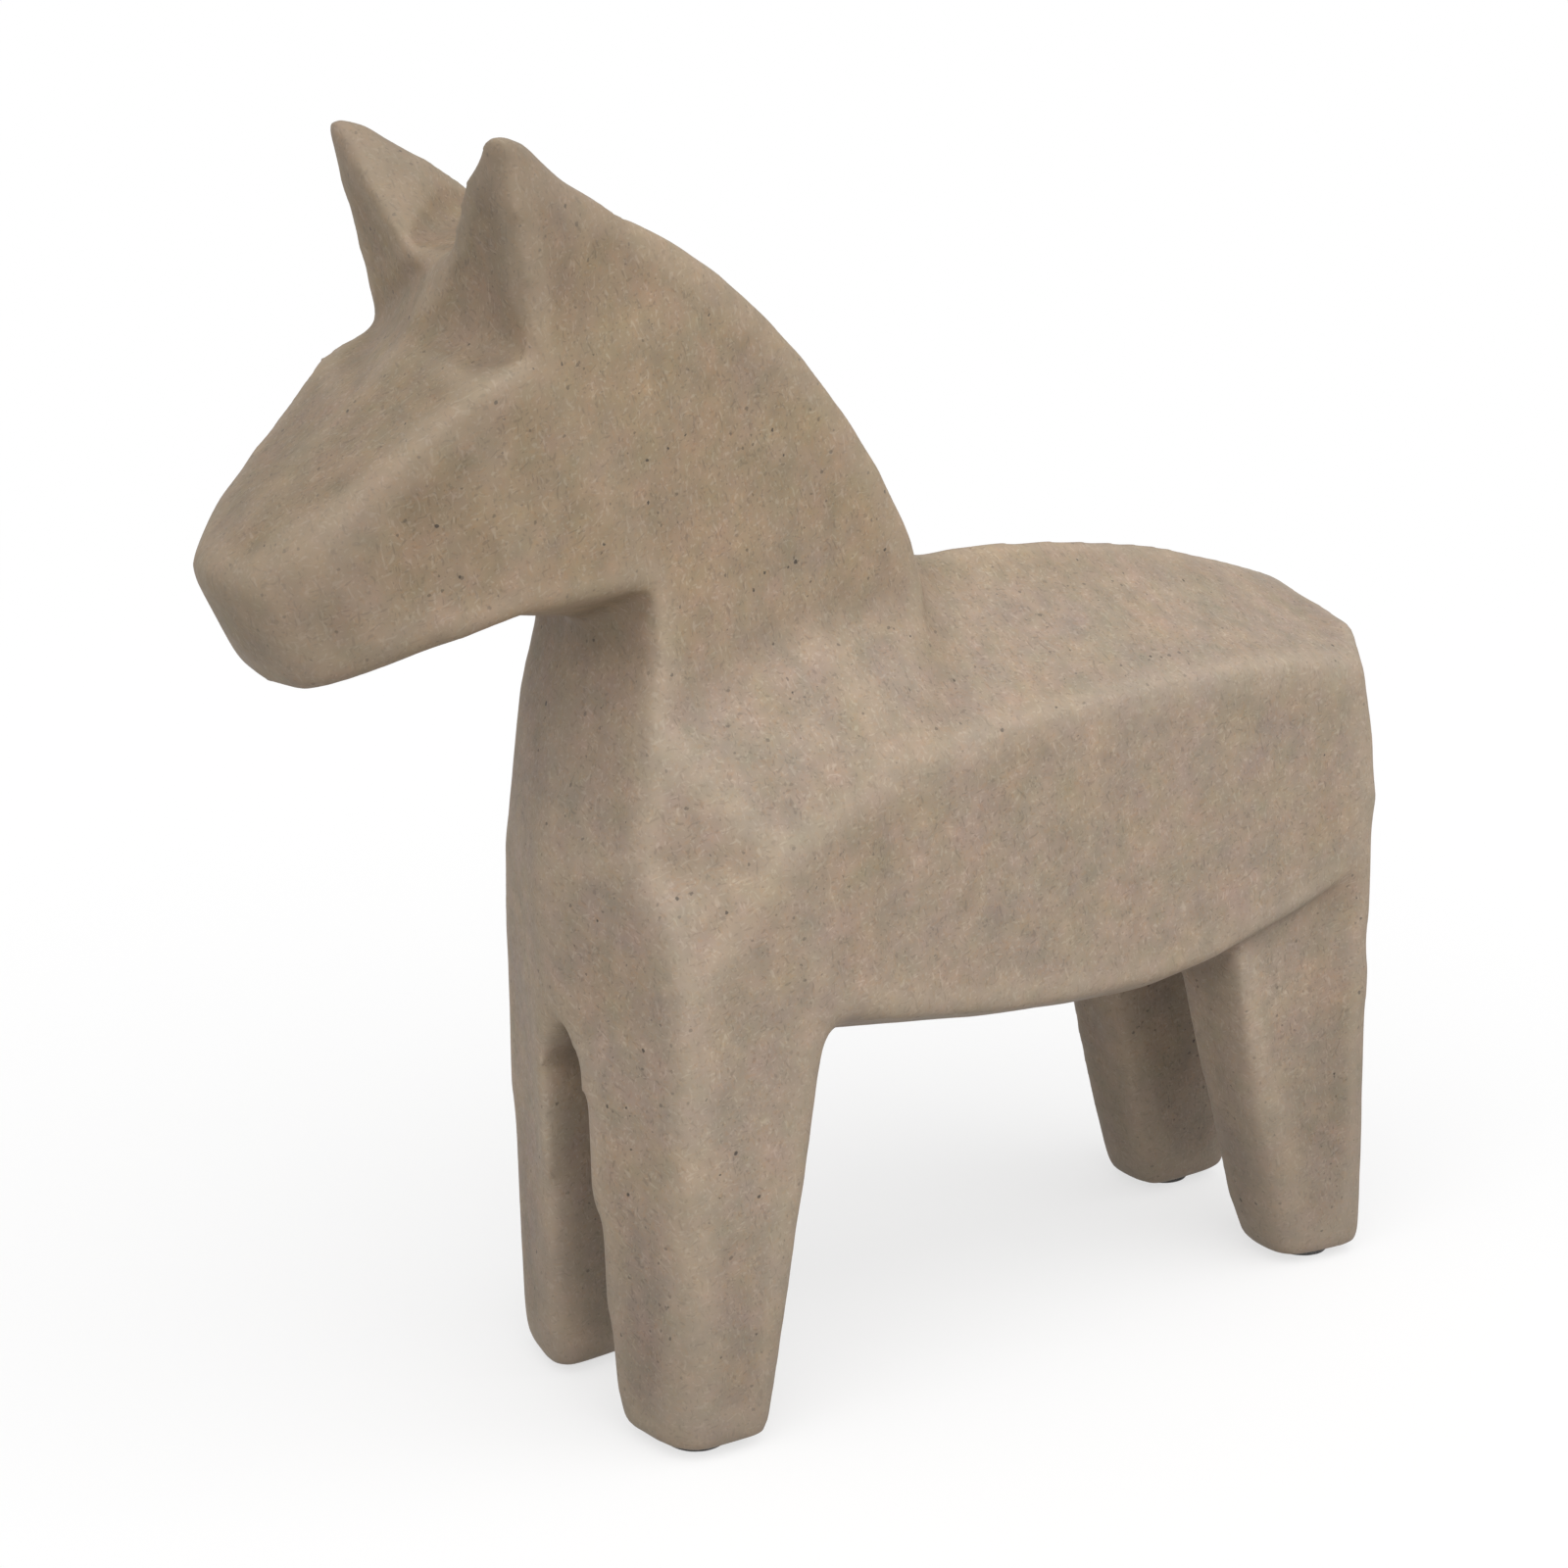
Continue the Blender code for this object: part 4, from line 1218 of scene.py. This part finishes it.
filler = turned_piece("belly_filler", "belly_plug", FILLER_SECTION, 0.00008)
filler.data.materials.append(filler_material())
print("filler points:", len(filler.data.vertices))

# %% [markdown]
# ## Felt pads
# No pad can be seen in the picture, so these are a guess too, and a thin dark edge of them shows.
# Wool felt is punched out of a sheet, so its rim is square but furry, and the glued side is flat.
# Under the weight of the horse the open side is pressed flat too, and only the rim stays loose.
# Its look comes from hairs that lie every way: the fibre pattern again, longer and much denser.

# %% Felt
FELT_SECTION = [
    (0.0, 0.0), (0.45, 0.0), (0.80, 0.0), (0.93, 0.02), (0.985, 0.14), (1.0, 0.36),
    (0.992, 0.64), (0.98, 0.86), (0.94, 1.0), (0.60, 1.0), (0.0, 1.0),
]
FELT_DARK = (0.030, 0.027, 0.025)
FELT_PALE = (0.115, 0.105, 0.095)


def felt_material():
    material, tree, shader, place = new_material("dark_felt")
    hairs = crossed_fibres(tree, place, 0.75, 0.0022, 0.00010)
    cloud = use_group(tree, clouds, Place=place, Size=0.002, Contrast=2.0)["Cloud"]
    mix = maths(tree, "MULTIPLY_ADD", hairs, 0.6, maths(tree, "MULTIPLY", cloud, 0.3), clamp=True)
    tone = blend_colours(tree, mix, FELT_DARK, FELT_PALE)
    rough = maths(tree, "MULTIPLY_ADD", hairs, 0.1, 0.88)
    finish(tree, shader, tone, rough, mix, 0.9, 0.00025)
    shader.inputs["Sheen Weight"].default_value = 0.4
    shader.inputs["Sheen Roughness"].default_value = 0.6
    return material


felt = felt_material()
for node in sorted(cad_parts):
    if node.startswith("foot_pad"):
        pad = turned_piece(node.replace("foot_pad", "felt"), node, FELT_SECTION, 0.00015)
        pad.data.materials.append(felt)
        print(pad.name, "points:", len(pad.data.vertices))

# %% [markdown]
# ## Steel inside
# Wires and pins keep their own solids: their shape is right, and they only need a finish. Drawn
# wire has fine lines along its length and a dull, slightly spotted skin. Each is a cut length of
# steel, so both share one pattern: very long, thin noise along the piece.

# %% Steel
WIRE_GREY = (0.34, 0.32, 0.30)
PIN_GREY = (0.50, 0.48, 0.46)
STEEL_SPOT = (0.16, 0.11, 0.08)


def steel_material(name, metal, drawn_along, roughness):
    material, tree, shader, place = new_material(name)
    stretched = add_node(tree, "Mapping", {"Vector": place, "Scale": drawn_along}).outputs[0]
    lines = noise_at(tree, stretched, 1.0, 2.0)[0]
    spots = use_group(tree, grains, Place=place, Spacing=0.002, Size=0.0006, Share=0.4)["Grain"]
    tone = blend_colours(tree, maths(tree, "MULTIPLY", spots, 0.7), metal, STEEL_SPOT)
    rough = maths(tree, "MULTIPLY_ADD", lines, 0.25, roughness)
    rough = maths(tree, "MULTIPLY_ADD", spots, 0.3, rough, clamp=True)
    finish(tree, shader, tone, rough, lines, 0.4, 0.00005)
    shader.inputs["Metallic"].default_value = 1.0
    return material


def refinish(node, material):
    """A CAD node keeps its shape and gets another finish."""
    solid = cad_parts[node].data
    for slot_number in range(len(solid.materials)):
        solid.materials[slot_number] = material


wire = steel_material("drawn_wire", WIRE_GREY, (4000.0, 4000.0, 60.0), 0.30)
pin = steel_material("pin_steel", PIN_GREY, (60.0, 4000.0, 4000.0), 0.18)
for node in bored:
    refinish(node, wire if node.startswith("leg_rod") else pin)
print("steel pieces:", len(bored))

# %% [markdown]
# ## Bead over the bond line
# The halves are bonded from inside as well, with a band of unfilled resin that runs round the
# hollow. It is amber, glossy and full of tiny bubbles, and its solid keeps its shape too.

# %% Resin bead
AMBER = (0.42, 0.27, 0.11)
AMBER_PALE = (0.58, 0.44, 0.24)


def bead_material():
    material, tree, shader, place = new_material("amber_resin")
    cloud = use_group(tree, clouds, Place=place, Size=0.006, Contrast=2.0)["Cloud"]
    bubbles = use_group(tree, grains, Place=place, Spacing=0.0016, Size=0.0005, Share=0.6)["Grain"]
    tone = blend_colours(tree, cloud, AMBER, AMBER_PALE)
    tone = blend_colours(tree, maths(tree, "MULTIPLY", bubbles, 0.5), tone, AMBER_PALE)
    rough = maths(tree, "MULTIPLY_ADD", cloud, 0.15, 0.22)
    finish(tree, shader, tone, rough, maths(tree, "SUBTRACT", cloud, bubbles), 0.4, 0.0002)
    return material


refinish("seam_bead", bead_material())

# %% [markdown]
# ## Check of the size
# The looks must not change the size of the horse. The box of what is shown is set against the box
# of the solids, and the largest difference between them is printed.

# %% Sizes
shown_box = [list(corner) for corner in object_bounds()]
largest = float(np.abs(np.array(shown_box) - np.array(solid_box)).max())
print("largest difference in mm:", round(1000 * largest, 2))
